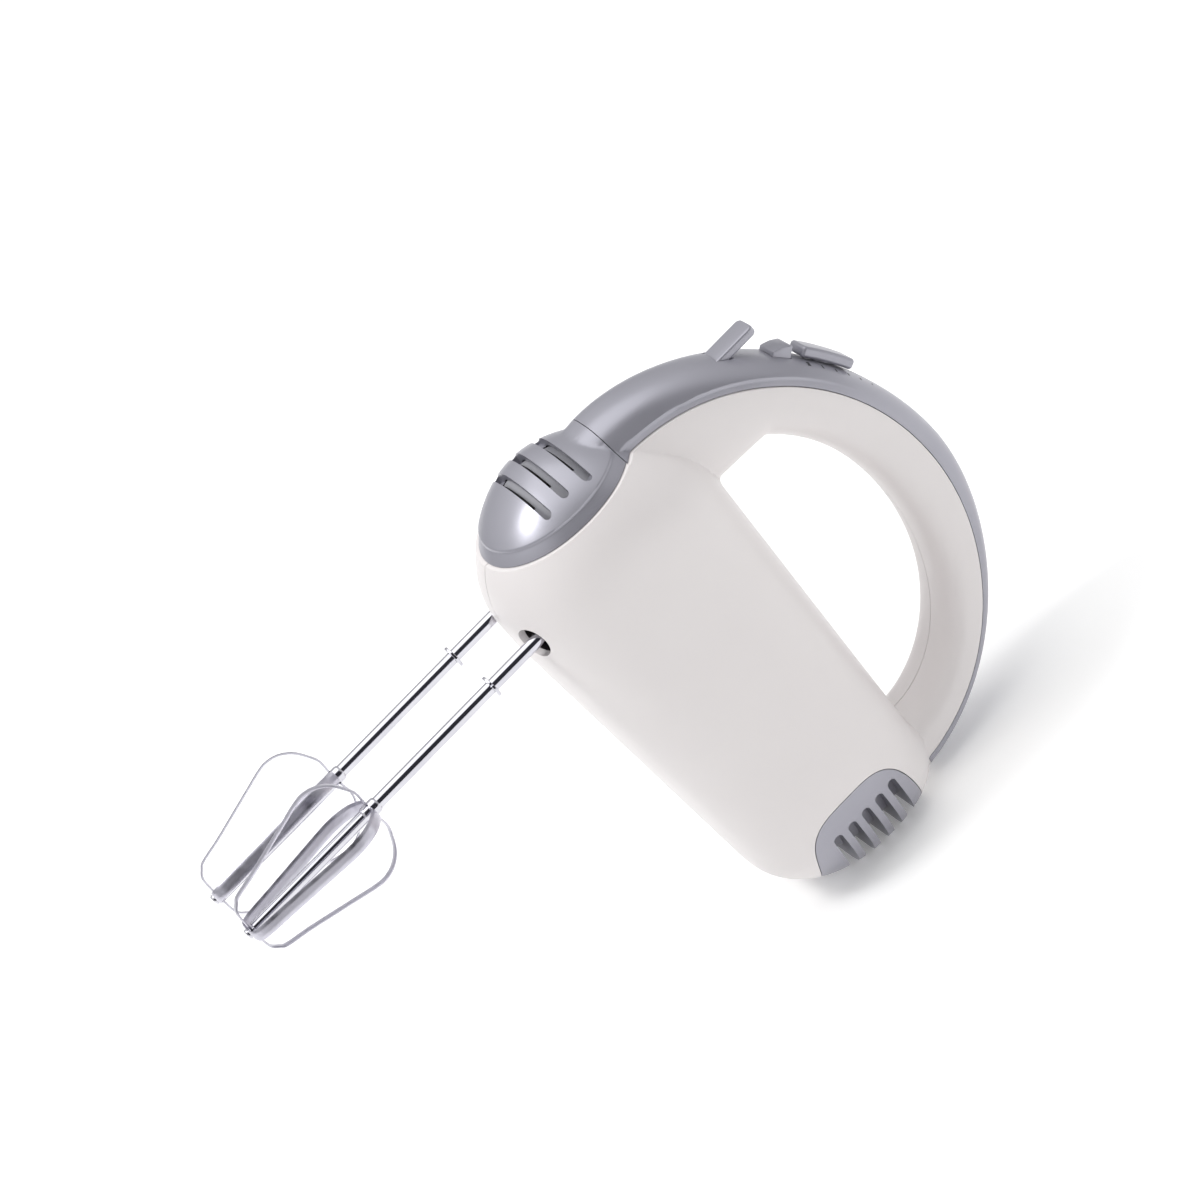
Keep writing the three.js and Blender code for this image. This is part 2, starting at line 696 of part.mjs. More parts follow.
function commutator() {
  const barrel = ring("z", 3 + GAP, 9, 37, 49, axisPoint);
  const grooves = [];
  for (let i = 0; i < 6; i++) {
    const groove = new THREE.BoxGeometry(20, 0.5, 11);
    groove.rotateZ((i / 6) * Math.PI + rad(15));
    groove.translate(AXIS_X, 0, 40.5);
    grooves.push(cut(solid(groove), bar("z", 8.2, 30, 50, axisPoint)));
  }
  return cut(barrel, ...grooves);
}

const FAN = { z0: 123, z1: 135, radius: 24, blades: 9 };

function coolingFan() {
  const hub = ring("z", 3 + GAP, 8, FAN.z0, FAN.z1, axisPoint);
  const disc = ring("z", 7, FAN.radius, FAN.z0, FAN.z0 + 1.6, axisPoint);
  const blades = [];
  for (let i = 0; i < FAN.blades; i++) {
    const blade = new THREE.BoxGeometry(15.5, 1.2, FAN.z1 - FAN.z0 - 1);
    blade.translate(15.2, 0, (FAN.z0 + FAN.z1 + 0.5) / 2);
    blade.rotateZ((i / FAN.blades) * 2 * Math.PI);
    blade.translate(AXIS_X, 0, 0);
    blades.push(solid(blade));
  }
  return unite(hub, disc, ...blades);
}

// ---------------------------------------------------------------- spindles and beaters

// A worm wheel whose teeth follow the worm's lead
function wormWheel(side) {
  const twist = WORM_LEAD / (2 * Math.PI * WORM_RADIUS) / WHEEL_RADIUS; // radians per millimetre
  const tooth = [
    [-0.24, 11.9],
    [-0.11, 13.4],
    [0.11, 13.4],
    [0.24, 11.9],
  ]; // place within a tooth's pitch, and radius
  const sections = [-1, 1].map((step) => {
    const height = step * WHEEL_HALF_THICKNESS;
    const points = [];
    for (let i = 0; i < WHEEL_TEETH; i++) {
      for (const [part, radius] of tooth) {
        const angle = ((i + part) / WHEEL_TEETH) * 2 * Math.PI + height * twist;
        // Angle 0 points at the worm, and the angle grows about +X
        points.push(
          vec(
            AXIS_X + height,
            side * SPINDLE_Y - side * radius * Math.cos(angle),
            SPINDLE_Z - side * radius * Math.sin(angle),
          ),
        );
      }
    }
    return points;
  });
  return cut(loft(sections), bar("x", SLEEVE.outer + GAP, -20, 10, spindlePoint(side)));
}

// The tube that holds a beater's shaft and carries its worm wheel
const spindleSleeve = (side) =>
  ring("x", SLEEVE.inner, SLEEVE.outer, SLEEVE.bottomX, SLEEVE.topX, spindlePoint(side));

// A beater's rod: a bead where the strips are fixed, and a rivet at the foot
const beaterShaft = (side) =>
  turned(
    "x",
    [
      [0, BEATER.topX],
      [1.9, BEATER.topX],
      [BEATER.shaftRadius, BEATER.topX - 1],
      [BEATER.shaftRadius, BEATER.hubX + 3.4],
      [BEATER.hubRadius, BEATER.hubX + 2.8],
      [BEATER.hubRadius, BEATER.hubX - 2.8],
      [BEATER.shaftRadius, BEATER.hubX - 3.4],
      [BEATER.shaftRadius, BEATER.tipX + 2.6],
      [BEATER.rivetRadius, BEATER.tipX + 2.6],
      [BEATER.rivetRadius, BEATER.tipX - GAP],
      [BEATER.rivetRadius + 1, BEATER.tipX - GAP],
      [BEATER.rivetRadius + 0.6, BEATER.tipX - GAP - 0.8],
      [0, BEATER.tipX - GAP - 0.8],
    ],
    spindlePoint(side),
    20,
  );

// A thin disc with two ears, pressed on the shaft
function beaterCollar(side, angle) {
  const at = spindlePoint(side);
  const disc = bar("x", 4.6, BEATER.collarX - 0.6, BEATER.collarX + 0.6, at);
  const ears = new THREE.BoxGeometry(1.2, 11.4, 3.4);
  ears.rotateX(rad(angle));
  ears.translate(BEATER.collarX, at.y, at.z);
  return cut(unite(disc, solid(ears)), bar("x", BEATER.shaftRadius + GAP, -80, -60, at));
}

// One strip loop in the plane at an angle about the shaft, from the hub round the rivet and back
function beaterLoop(side, degrees, tipX) {
  const { hubX, wideX, wideRadius, footX, footRadius } = BEATER;
  const half = new THREE.CatmullRomCurve3(
    [
      vec(BEATER.hubRadius + GAP, hubX, 0),
      vec(8.4, hubX + 0.2, 0),
      vec(wideRadius * 0.55, hubX - 1.2, 0),
      vec(wideRadius * 0.79, wideX + 9.6, 0),
      vec(wideRadius * 0.945, wideX + 5, 0),
      vec(wideRadius, wideX, 0),
      vec(wideRadius * 0.935, wideX - 9, 0),
      vec(wideRadius * 0.775, wideX - 20.5, 0),
      vec(wideRadius * 0.59, wideX - 33.5, 0),
      vec(footRadius, footX + 3, 0),
      vec(footRadius - 0.8, footX - 0.4 + (tipX - BEATER.tipX), 0),
      vec(footRadius - 3, tipX + 0.8, 0),
      vec(0, tipX + 0.4, 0),
    ],
    false,
    "centripetal",
  );
  const down = half.getSpacedPoints(18);
  const up = down.slice(0, -1).reverse().map((p) => vec(-p.x, p.y, 0));
  const path = [...down, ...up];
  const turn = rad(degrees);
  const across = vec(0, -Math.sin(turn), Math.cos(turn));
  const place = (p) => vec(p.y, side * SPINDLE_Y + p.x * Math.cos(turn), SPINDLE_Z + p.x * Math.sin(turn));
  const placed = path.map(place);
  const sections = placed.map((point, i) => {
    const before = placed[Math.max(i - 1, 0)];
    const after = placed[Math.min(i + 1, placed.length - 1)];
    const along = after.clone().sub(before).normalize();
    const normal = across.clone().cross(along);
    const corners = [[-1, -1], [1, -1], [1, 1], [-1, 1]];
    return corners.map(([n, w]) =>
      point
        .clone()
        .addScaledVector(normal, (n * BEATER.stripThickness) / 2)
        .addScaledVector(across, (w * BEATER.stripWidth) / 2),
    );
  });
  const rivetHole = bar("x", BEATER.rivetRadius + GAP, tipX - 2, tipX + 3, spindlePoint(side), 12);
  return cut(loft(sections), rivetHole);
}

// ---------------------------------------------------------------- controls

function ejectLever() {
  const { zRear, zFront, halfWidth, topX, bottomX } = LEVER;
  const outline = [
    [bottomX, -halfWidth],
    [topX - 1.6, -halfWidth],
    [topX, -halfWidth + 1.6],
    [topX, halfWidth - 1.6],
    [topX - 1.6, halfWidth],
    [bottomX, halfWidth],
  ];
  return slabZ(outline, zRear, zFront);
}

const PUSH_PIN_RADIUS = 1.9;
const PLATE = { x0: UPPER_SHELF.x1 + EJECT_TRAVEL + 4, x1: LEVER.bottomX - GAP, z0: 156, z1: 190 };

// The plate under the lever, with a pin down each hollow spindle
function ejectorPlate() {
  const plate = block(PLATE.x0, PLATE.x1, -SPINDLE_Y - 4, SPINDLE_Y + 4, 163, 173);
  const tail = block(PLATE.x0, PLATE.x1, -7, 7, PLATE.z0, PLATE.z1);
  const pins = [-1, 1].map((side) =>
    bar("x", PUSH_PIN_RADIUS, BEATER.topX + GAP, PLATE.x0 + 1, spindlePoint(side), 16),
  );
  return unite(plate, tail, ...pins);
}

// A coil spring along a line, from a foot to a top
function spring(foot, top, radius, wire, turns) {
  const line = top.clone().sub(foot);
  const length = line.length();
  const lie = new THREE.Quaternion().setFromUnitVectors(vec(0, 0, 1), line.clone().normalize());
  class Helix extends THREE.Curve {
    getPoint(t, target = new THREE.Vector3()) {
      const angle = t * turns * 2 * Math.PI;
      target.set(radius * Math.cos(angle), radius * Math.sin(angle), t * length);
      return target.applyQuaternion(lie).add(foot);
    }
  }
  const round = superellipse(0, 0, wire, wire, 2, 5);
  const section = new THREE.Shape(round.map(([x, y]) => new THREE.Vector2(x, y)));
  return solid(
    new THREE.ExtrudeGeometry(section, {
      steps: turns * 9,
      extrudePath: new Helix(),
      bevelEnabled: false,
    }),
  );
}

const ejectorSpring = spring(
  vec(UPPER_SHELF.x1 + 0.9, 0, PLATE.z0 + 4),
  vec(PLATE.x0 - 0.9, 0, PLATE.z0 + 4),
  3,
  0.35,
  3,
);

const TURBO_FOOT = -WALL - 4.5; // the button's lower end, below the handle's surface
const turboOut = (distance) =>
  vec(turbo.x + distance * Math.cos(turbo.angle), 0, turbo.z + distance * Math.sin(turbo.angle));

// A wedge that stands proud at the front and runs down to the surface behind
function turboButton() {
  const { proud, halfWidth, halfLength } = TURBO;
  const body = turboBlock(TURBO_FOOT, proud, halfWidth, halfLength);
  const flange = turboBlock(TURBO_FOOT, TURBO_FOOT + 1.4, halfWidth + 1, halfLength + 1);
  const bevel = new THREE.BoxGeometry(6, 30, 14);
  bevel.translate(3, 0, 0);
  bevel.rotateY(rad(-22));
  bevel.translate(proud - 1.2, 0, halfLength * 0.35);
  bevel.rotateY(-turbo.angle);
  bevel.translate(turbo.x, 0, turbo.z);
  return cut(unite(body, flange), solid(bevel));
}

const turboSpring = spring(turboOut(TURBO_FOOT - 7), turboOut(TURBO_FOOT - 0.6), 2, 0.3, 3);

// The slider: a thumb piece with bevelled ends that floats on the cover, and a tongue into the switch
function speedSlider() {
  const inner = slide.radius + SLIDER.float;
  const outer = inner + SLIDER.thickness;
  const bevel = rad(1.6);
  const lower = arcSlab(inner, outer - 1.6, sliderRear, sliderFront, -SLIDER.halfWidth, SLIDER.halfWidth);
  const upper = arcSlab(
    inner + 1,
    outer,
    sliderRear + bevel,
    sliderFront - bevel,
    -SLIDER.halfWidth + 1.2,
    SLIDER.halfWidth - 1.2,
  );
  const tongue = arcSlab(
    slide.radius - 7,
    inner + 1,
    tongueAngle - TONGUE.halfAngle,
    tongueAngle + TONGUE.halfAngle,
    -TONGUE.halfWidth,
    TONGUE.halfWidth,
    2,
  );
  return unite(lower, upper, tongue);
}

// The switch follows the track; the slider's tongue runs in a groove along its top
function speedSwitch() {
  const from = tongueAngle - SLIDER_TRAVEL - rad(3.5);
  const to = tongueAngle + rad(2.4);
  const body = arcSlab(slide.radius - 15, slide.radius - 4.5, from, to, -7, 7, 5);
  const groove = arcSlab(
    slide.radius - 7.6,
    slide.radius,
    tongueAngle - SLIDER_TRAVEL - TONGUE.halfAngle - rad(0.5),
    tongueAngle + rad(1.9),
    -TONGUE.halfWidth - 0.4,
    TONGUE.halfWidth + 0.4,
    5,
  );
  return cut(body, groove);
}

// ---------------------------------------------------------------- the assembly

const mixer = new THREE.Group();

function piece(name, body, material, parent = mixer) {
  const mesh = new THREE.Mesh(geometryOf(body), material);
  mesh.name = name;
  parent.add(mesh);
  return mesh;
}

piece("left_shell", shell(-1), plastic(WHITE, 0.42));
piece("right_shell", shell(1), plastic(WHITE, 0.42));
piece("handle_cover", handleCover, plastic(GREY, 0.38));
piece("nose_cap", noseCap, plastic(GREY, 0.36));
piece("front_air_guide", frontAirGuide, plastic(0x8d8c94, 0.5));
piece("heel_grille", heelGrille(), plastic(GREY, 0.45));
piece("cord_gland", cordGland, plastic(0x9a99a1, 0.7));

piece("gear_frame", gearFrame(), metal(0x9c9fa3, 0.5));
piece("stator_core", statorCore(), metal(0x5c5e63, 0.55));
piece("rear_bracket", rearBracket(), metal(0xa9abae, 0.45));
const bearing = (z0, z1) => ring("z", BEARING.inner, BEARING.outer, z0, z1, axisPoint);
piece("front_bearing", bearing(FRAME_PLATE.z0, FRAME_PLATE.z1), metal(0xa98c5a, 0.5));
piece("rear_bearing", bearing(BRACKET.z0, BRACKET.z1), metal(0xa98c5a, 0.5));
piece("field_coil_upper", fieldCoil(1), metal(0xb0622c, 0.4));
piece("field_coil_lower", fieldCoil(-1), metal(0xb0622c, 0.4));

const rotor = new THREE.Group();
mixer.add(rotor);
piece("rotor_shaft", rotorShaft(), metal(0xb5b7ba, 0.3), rotor);
piece("armature_core", armatureCore(), metal(0x5c5e63, 0.55), rotor);
piece("winding_front", windingEnd(CORE.z1 + GAP, 121), metal(0xb0622c, 0.4), rotor);
piece("winding_rear", windingEnd(51, CORE.z0 - GAP), metal(0xb0622c, 0.4), rotor);
piece("commutator", commutator(), metal(0xb5733a, 0.35), rotor);
piece("cooling_fan", coolingFan(), plastic(0x3a3b3e, 0.5), rotor);

for (const [name, side] of [["left", -1], ["right", 1]]) {
  piece(`spindle_bush_${name}`, spindleBush(side), metal(0xa98c5a, 0.5));
  piece(`brush_holder_${name}`, brushHolder(side), metal(0xb59452, 0.45));
  piece(`carbon_brush_${name}`, carbonBrush(side), plastic(0x2a2a2c, 0.8));

  const spindle = new THREE.Group();
  mixer.add(spindle);
  piece(`worm_wheel_${name}`, wormWheel(side), plastic(0xe4dfcf, 0.5), spindle);
  piece(`spindle_sleeve_${name}`, spindleSleeve(side), metal(0xb5b7ba, 0.35), spindle);

  const beater = new THREE.Group();
  spindle.add(beater);
  const angle = BEATER_ANGLE[name];
  piece(`beater_shaft_${name}`, beaterShaft(side), metal(0xd6d8da, 0.12), beater);
  piece(`beater_collar_${name}`, beaterCollar(side, angle), metal(0xd6d8da, 0.15), beater);
  piece(`beater_loop_outer_${name}`, beaterLoop(side, angle, BEATER.tipX), metal(0xd6d8da, 0.12), beater);
  piece(
    `beater_loop_inner_${name}`,
    beaterLoop(side, angle + 90, BEATER.tipX + BEATER.stripThickness + GAP),
    metal(0xd6d8da, 0.12),
    beater,
  );
}

const ejector = new THREE.Group();
mixer.add(ejector);
piece("eject_lever", ejectLever(), plastic(GREY, 0.4), ejector);
piece("ejector_plate", ejectorPlate(), metal(0xa9abae, 0.45), ejector);
piece("ejector_spring", ejectorSpring, metal(0x9ea1a5, 0.35));

piece("turbo_button", turboButton(), plastic(GREY, 0.4));
piece("turbo_spring", turboSpring, metal(0x9ea1a5, 0.35));
piece("speed_slider", speedSlider(), plastic(GREY, 0.4));
piece("speed_switch", speedSwitch(), plastic(0x4a4a4e, 0.6));

SHELL_SCREWS.forEach(([x, z], i) => {
  const body = screw("y", vec(x, 0, z), BOSS.headY + GAP + 2.2, -13, 3, 1.4, 2.2);
  piece(`shell_screw_${i + 1}`, body, metal(0x8f9296, 0.35));
});
longScrewPoints.forEach((point, i) => {
  const body = screw("z", point, FRAME_PLATE.z1 + GAP + 2.2, STATOR.z0 + 2, 2.6, 1.5, 2.2);
  piece(`motor_screw_${i + 1}`, body, metal(0x8f9296, 0.35));
});

export default mixer;
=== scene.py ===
"""The looks of a hand mixer that stands on its heel: smooth moulded shells, grey trim and chromed beaters.

The row frame: +Z from the heel to the nose, +X out of the handle, beaters along -X, parting plane y = 0.
Shapes are worked out in millimetres and turned to metres when their meshes are made.
"""

import json
import math

import bpy
import numpy as np
from mathutils import Matrix, Vector


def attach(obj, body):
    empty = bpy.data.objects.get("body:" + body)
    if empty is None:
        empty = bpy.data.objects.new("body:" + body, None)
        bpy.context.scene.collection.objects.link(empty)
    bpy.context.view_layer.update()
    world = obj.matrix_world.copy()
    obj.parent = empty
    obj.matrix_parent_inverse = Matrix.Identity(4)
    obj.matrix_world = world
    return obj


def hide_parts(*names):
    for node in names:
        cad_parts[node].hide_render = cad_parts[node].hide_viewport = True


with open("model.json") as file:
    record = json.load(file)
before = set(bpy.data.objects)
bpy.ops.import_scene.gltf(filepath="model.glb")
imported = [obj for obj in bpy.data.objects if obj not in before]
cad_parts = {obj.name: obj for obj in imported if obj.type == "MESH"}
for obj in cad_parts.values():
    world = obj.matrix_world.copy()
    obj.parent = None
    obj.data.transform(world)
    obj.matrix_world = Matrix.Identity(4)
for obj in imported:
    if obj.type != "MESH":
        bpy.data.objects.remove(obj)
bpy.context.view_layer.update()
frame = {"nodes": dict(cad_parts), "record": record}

MM = 0.001
GAP = 0.3  # between pieces that touch
WALL = 2.5  # moulded wall
FAR = 300.0  # reaches past the object

# ---------------------------------------------------------------- driving dimensions, mm

NOSE_Z = 213.0
BODY_HALF_WIDTH = 39.5
BODY_FRONT = (150.0, 46.5)  # z, half height
BODY_REAR = (25.0, 39.5)
NOSE_START_HEIGHT = 165.0  # where top and bottom begin to close in
NOSE_START_WIDTH = 172.0  # where the sides begin to close in
HEEL_HALF_HEIGHT, HEEL_HALF_WIDTH, HEEL_POWER = 17.0, 16.3, 2.25
HEEL_ROUND_HEIGHT, HEEL_ROUND_WIDTH = 24.5, 56.0
BODY_X_HEEL, BODY_X_MIDDLE, BODY_X_NOSE = 1.7, -5.5, -7.0
REAR_POWER, FRONT_POWER, NOSE_POWER = 2.9, 2.6, 2.05  # squareness of the body's sections
NOSE_FULLNESS = 0.6  # how blunt the nose is from the side; an ellipse has 0.5
NOSE_BLEND = 0.6  # share of the nose over which its sections change
MOUTH_RADIUS, MOUTH_LOW_X, MOUTH_HIGH_X = 6.75, -62.0, -30.0  # the hole round each beater

HOOP_X, HOOP_Z = 20.0, 100.0
HOOP_RADIUS_X, HOOP_FRONT_Z, HOOP_REAR_Z, HOOP_POWER = 95.5, 108.0, 99.0, 1.87
GRIP_X, GRIP_Z, GRIP_RADIUS_X, GRIP_RADIUS_Z, GRIP_FRONT_Z = 36.0, 96.0, 51.0, 70.0, 155.0
HOOP_HALF_WIDTH, HOOP_FRONT_FLARE, HOOP_REAR_FLARE = 15.6, 3.0, 1.4
HOOP_SECTION_POWER = 2.6
LEG_ANGLE = 96.0  # degrees to either side of +X at which the legs end inside the body
SEAM_X, SEAM_Z, SEAM_RADIUS_X, SEAM_RADIUS_Z = 20.0, 101.5, 86.5, 93.0
SEAM_FRONT_X, SEAM_REAR_X = 18.5, 30.5
CAP_SEAM_Z = 195.0

CAP_BORDER_WIDTH, CAP_BORDER_DEPTH = 5.0, 1.1  # the cap's bevelled rear edge
CREASE_WIDTH, CREASE_DEPTH = 3.2, 1.1  # the cover's lower band, set in from its side
STEP_SHARE, STEP_WIDTH = 0.5, 0.7  # the share of either depth in a small step, and the step's width
CREASE_FADE = (134.0, 172.0)  # z where the band fades out, and where it is full

RIB_PITCH = 7.2
SLOT_WIDTH, SLOT_DEPTH, SLOT_SIDE_END, SLOT_COUNT, SLOT_FIRST_X = 4.2, 6.0, 28.0, 5, 10.8
GRILLE_X, GRILLE_RADIUS_X, GRILLE_RADIUS_Z, GRILLE_POWER, GRILLE_WALL = -6.0, 24.5, 38.3, 3.4, 7.6
BORE_HALF_WIDTH, BORE_HALF_LENGTH, BORE_DEPTH = 1.1, 15.0, 20.0  # the narrow opening in a slot's floor
BLOCK_FOOT_Z, REAR_BLOCK_FOOT_Z = 2.5, 4.0  # how far the end blocks stay off the ground
NOSE_SLOT_XS = (4.0, -6.0, -15.5)
NOSE_SLOT_HEIGHT, NOSE_SLOT_HALF_WIDTH, NOSE_SLOT_REAR_Z = 3.6, 24.5, 201.0

SPINDLE_Y, SPINDLE_Z = 17.5, 168.0
SHELL_SCREWS = ((-36, 48), (-38, 134), (25, 50), (28, 132), (101, 100))  # x, z
BOSS_RADIUS, BOSS_HOLE, HEAD_HOLE, HEAD_Y = 4.0, 1.75, 3.4, 13.0
GLAND_X, GLAND_OUTER, GLAND_FLANGE = 24.0, 5.2, 6.8
GLAND_FLANGE_Z, GLAND_TOP_Z = 10.7, 14.0

LEVER_REAR_Z, LEVER_FRONT_Z, LEVER_HALF_WIDTH, LEVER_TOP_X, LEVER_FOOT_X = 185.5, 189.0, 5.75, 88.0, 21.4
TURBO_Z, TURBO_HALF_LENGTH, TURBO_HALF_WIDTH, TURBO_PROUD, TURBO_FOOT = 171.0, 3.9, 5.5, 4.5, -7.0
SLIDER_FRONT_Z, SLIDER_REAR_Z, SLIDER_HALF_WIDTH = 164.6, 145.6, 5.75
SLIDER_THICKNESS, SLIDER_FLOAT = 4.2, 0.6
SLIDER_TRAVEL = math.radians(9.5)
SLIDE_CURVE_ZS = (166, 149, 130)  # z of three points on the handle that the slider's circle runs through
TONGUE_HALF_WIDTH, TONGUE_HALF_ANGLE = 1.6, math.radians(1.4)
CONTROL_GAP = 0.4  # round the turbo button and the slider's tongue
LEVER_GAP = 0.5
SLOT_END_GAP = math.radians(0.5)
MARK_COUNT, MARK_FIRST_Z, MARK_PITCH = 6, 163.0, 5.2
MARK_SIDE, MARK_LENGTH, MARK_SHORTER, MARK_WIDTH = -7.0, 2.6, 0.35, 0.6
MARK_SUNK, MARK_LIFT = -0.2, 0.05

SHAFT_RADIUS, HUB_RADIUS, RIVET_RADIUS, SHAFT_TOP_X = 2.55, 3.1, 1.3, -25.0
COLLAR_X, HUB_X, WIDE_X, FOOT_X, TIP_X = -71.3, -133.0, -147.0, -191.5, -194.6
WIDE_RADIUS, FOOT_RADIUS = 21.8, 11.6
COLLAR_RADIUS, COLLAR_HALF_THICKNESS = 4.6, 0.6
EAR_REACH, EAR_HALF_WIDTH = 5.7, 1.7
STRIP_WIDTH, STRIP_THICKNESS = 5.0, 0.8
BEATER_ANGLE = {"left": -14.0, "right": -31.0}

# ---------------------------------------------------------------- meshes


def lerp(start, end, share):
    return start + (end - start) * share


def smoothstep(value, low, high):
    t = np.clip((value - low) / (high - low), 0, 1)
    return t * t * (3 - 2 * t)


def make(points, faces, name="tool"):
    """A mesh object from points in millimetres."""
    mesh = bpy.data.meshes.new(name)
    mesh.from_pydata((np.asarray(points, float) * MM).tolist(), [], faces)
    mesh.validate()
    piece = bpy.data.objects.new(name, mesh)
    bpy.context.scene.collection.objects.link(piece)
    return piece


def apply_modifiers(piece):
    """Turns what the piece's modifiers show into its own mesh."""
    graph = bpy.context.evaluated_depsgraph_get()
    shown = bpy.data.meshes.new_from_object(piece.evaluated_get(graph))
    piece.modifiers.clear()
    piece.data = shown
    return piece


def combine(base, operation, *tools, keep=False):
    """Joins, cuts or intersects a closed mesh with others."""
    for tool in tools:
        step = base.modifiers.new("combine", "BOOLEAN")
        step.operation = operation
        step.solver = "MANIFOLD"
        step.object = tool
        apply_modifiers(base)
        if not keep:
            bpy.data.objects.remove(tool)
    return base


def copy_of(piece):
    twin = bpy.data.objects.new("copy", piece.data.copy())
    bpy.context.scene.collection.objects.link(twin)
    return twin


def rounded(piece, width, segments=3, angle=30):
    """Rounds a piece's edges."""
    step = piece.modifiers.new("round", "BEVEL")
    step.width = width * MM
    step.segments = segments
    step.limit_method = "ANGLE"
    step.angle_limit = math.radians(angle)
    return apply_modifiers(piece)


def loft(sections):
    """A closed mesh through rings of points; the first and last rings are closed with fans."""
    sections = np.asarray(sections, float)
    count, around = sections.shape[:2]
    points = np.concatenate(
        [sections.reshape(-1, 3), sections[0].mean(0)[None], sections[-1].mean(0)[None]]
    )
    foot, top = count * around, count * around + 1
    faces = []
    for j in range(around):
        k = (j + 1) % around
        faces.append((foot, k, j))
        faces.append((top, (count - 1) * around + j, (count - 1) * around + k))
        for i in range(count - 1):
            faces.append((i * around + j, i * around + k, (i + 1) * around + k, (i + 1) * around + j))
    return outward(make(points, faces))


def outward(piece):
    """Turns a closed mesh's faces outwards."""
    mesh = piece.data
    points = np.array([v.co for v in mesh.vertices], float)
    mesh.calc_loop_triangles()
    corners = points[np.array([t.vertices[:] for t in mesh.loop_triangles])]
    volume = np.einsum("ij,ij->i", corners[:, 0], np.cross(corners[:, 1], corners[:, 2])).sum()
    if volume < 0:
        mesh.flip_normals()
    return piece


def prism(outline, low, high, axis="y"):
    """An outline extruded along an axis: points are (x, z) along y, (x, y) along z."""
    rings = []
    for level in (low, high):
        if axis == "y":
            rings.append([(a, level, b) for a, b in outline])
        else:
            rings.append([(a, b, level) for a, b in outline])
    count = len(outline)
    faces = [tuple(range(count - 1, -1, -1)), tuple(range(count, 2 * count))]
    for i in range(count):
        k = (i + 1) % count
        faces.append((i, k, count + k, count + i))
    return outward(make(np.concatenate(rings), faces))


def block(x0, x1, y0, y1, z0, z1):
    return prism(((x0, z0), (x1, z0), (x1, z1), (x0, z1)), y0, y1)


def turned(axis, profile, at, sides=64):
    """A turned piece: the profile lists (radius, level along the axis), and at is a point on the axis."""
    angles = np.linspace(0, 2 * math.pi, sides, endpoint=False)
    rings = []
    for radius, level in profile:
        across = np.stack([max(radius, 0.001) * np.cos(angles), max(radius, 0.001) * np.sin(angles)], 1)
        along = np.full(sides, float(level))
        columns = {
            "x": (along, at[1] + across[:, 0], at[2] + across[:, 1]),
            "y": (at[0] + across[:, 0], along, at[2] + across[:, 1]),
            "z": (at[0] + across[:, 0], at[1] + across[:, 1], along),
        }[axis]
        rings.append(np.stack(columns, 1))
    return loft(rings)


def bar(axis, radius, low, high, at, sides=48):
    return turned(axis, ((radius, low), (radius, high)), at, sides)


def stepped(distance, width):
    """From 1 at an edge to 0 at a width inside it: a slope that ends in a small step."""
    slope = np.clip(1 - distance / width, 0, 1)
    step = 1 - smoothstep(distance, width - STEP_WIDTH, width)
    return STEP_SHARE * step + (1 - STEP_SHARE) * slope


def outline_of(radius_x, radius_y, power, count):
    """A superellipse with its points evenly spread by angle."""
    angles = np.linspace(0, 2 * math.pi, count, endpoint=False)
    c, s = np.cos(angles), np.sin(angles)
    reach = (np.abs(c / radius_x) ** power + np.abs(s / radius_y) ** power) ** (-1 / power)
    return reach * c, reach * s


def grid_normals(grid):
    """Outward unit normals of a tube-like grid of rings."""
    around = np.roll(grid, -1, axis=1) - np.roll(grid, 1, axis=1)
    along = np.gradient(grid, axis=0)
    normals = np.cross(around, along)
    normals /= np.maximum(np.linalg.norm(normals, axis=2, keepdims=True), 1e-9)
    away = grid - grid.mean(axis=1, keepdims=True)
    return normals * np.sign((normals * away).sum(2).mean())


# ---------------------------------------------------------------- the outer forms


def body_section(z):
    """Centre, half height, half width and squareness of the body's section at z."""
    along = (z - BODY_REAR[0]) / (BODY_FRONT[0] - BODY_REAR[0])
    half_height = lerp(BODY_REAR[1], BODY_FRONT[1], min(max(along, 0), 1.05))
    half_width = BODY_HALF_WIDTH
    power = lerp(REAR_POWER, FRONT_POWER, min(max(along, 0), 1))
    x = BODY_X_MIDDLE
    if z < HEEL_ROUND_HEIGHT:
        t = (HEEL_ROUND_HEIGHT - z) / HEEL_ROUND_HEIGHT
        half_height = lerp(HEEL_HALF_HEIGHT, half_height, math.sqrt(1 - t * t))
        power = lerp(REAR_POWER, HEEL_POWER, t * t)
        x = lerp(BODY_X_MIDDLE, BODY_X_HEEL, t)
    if z < HEEL_ROUND_WIDTH:
        t = (HEEL_ROUND_WIDTH - z) / HEEL_ROUND_WIDTH
        half_width = lerp(HEEL_HALF_WIDTH, half_width, math.sqrt(1 - t * t))
    if z > NOSE_START_HEIGHT:
        t = (z - NOSE_START_HEIGHT) / (NOSE_Z - NOSE_START_HEIGHT)
        half_height *= max(1 - t * t, 0) ** NOSE_FULLNESS
        blend = float(smoothstep(t, 0, NOSE_BLEND))
        power = lerp(FRONT_POWER, NOSE_POWER, blend)
        x = lerp(BODY_X_MIDDLE, BODY_X_NOSE, blend)
    if z > NOSE_START_WIDTH:
        t = (z - NOSE_START_WIDTH) / (NOSE_Z - NOSE_START_WIDTH)
        half_width *= math.sqrt(max(1 - t * t, 0))
    return x, half_height, half_width, power


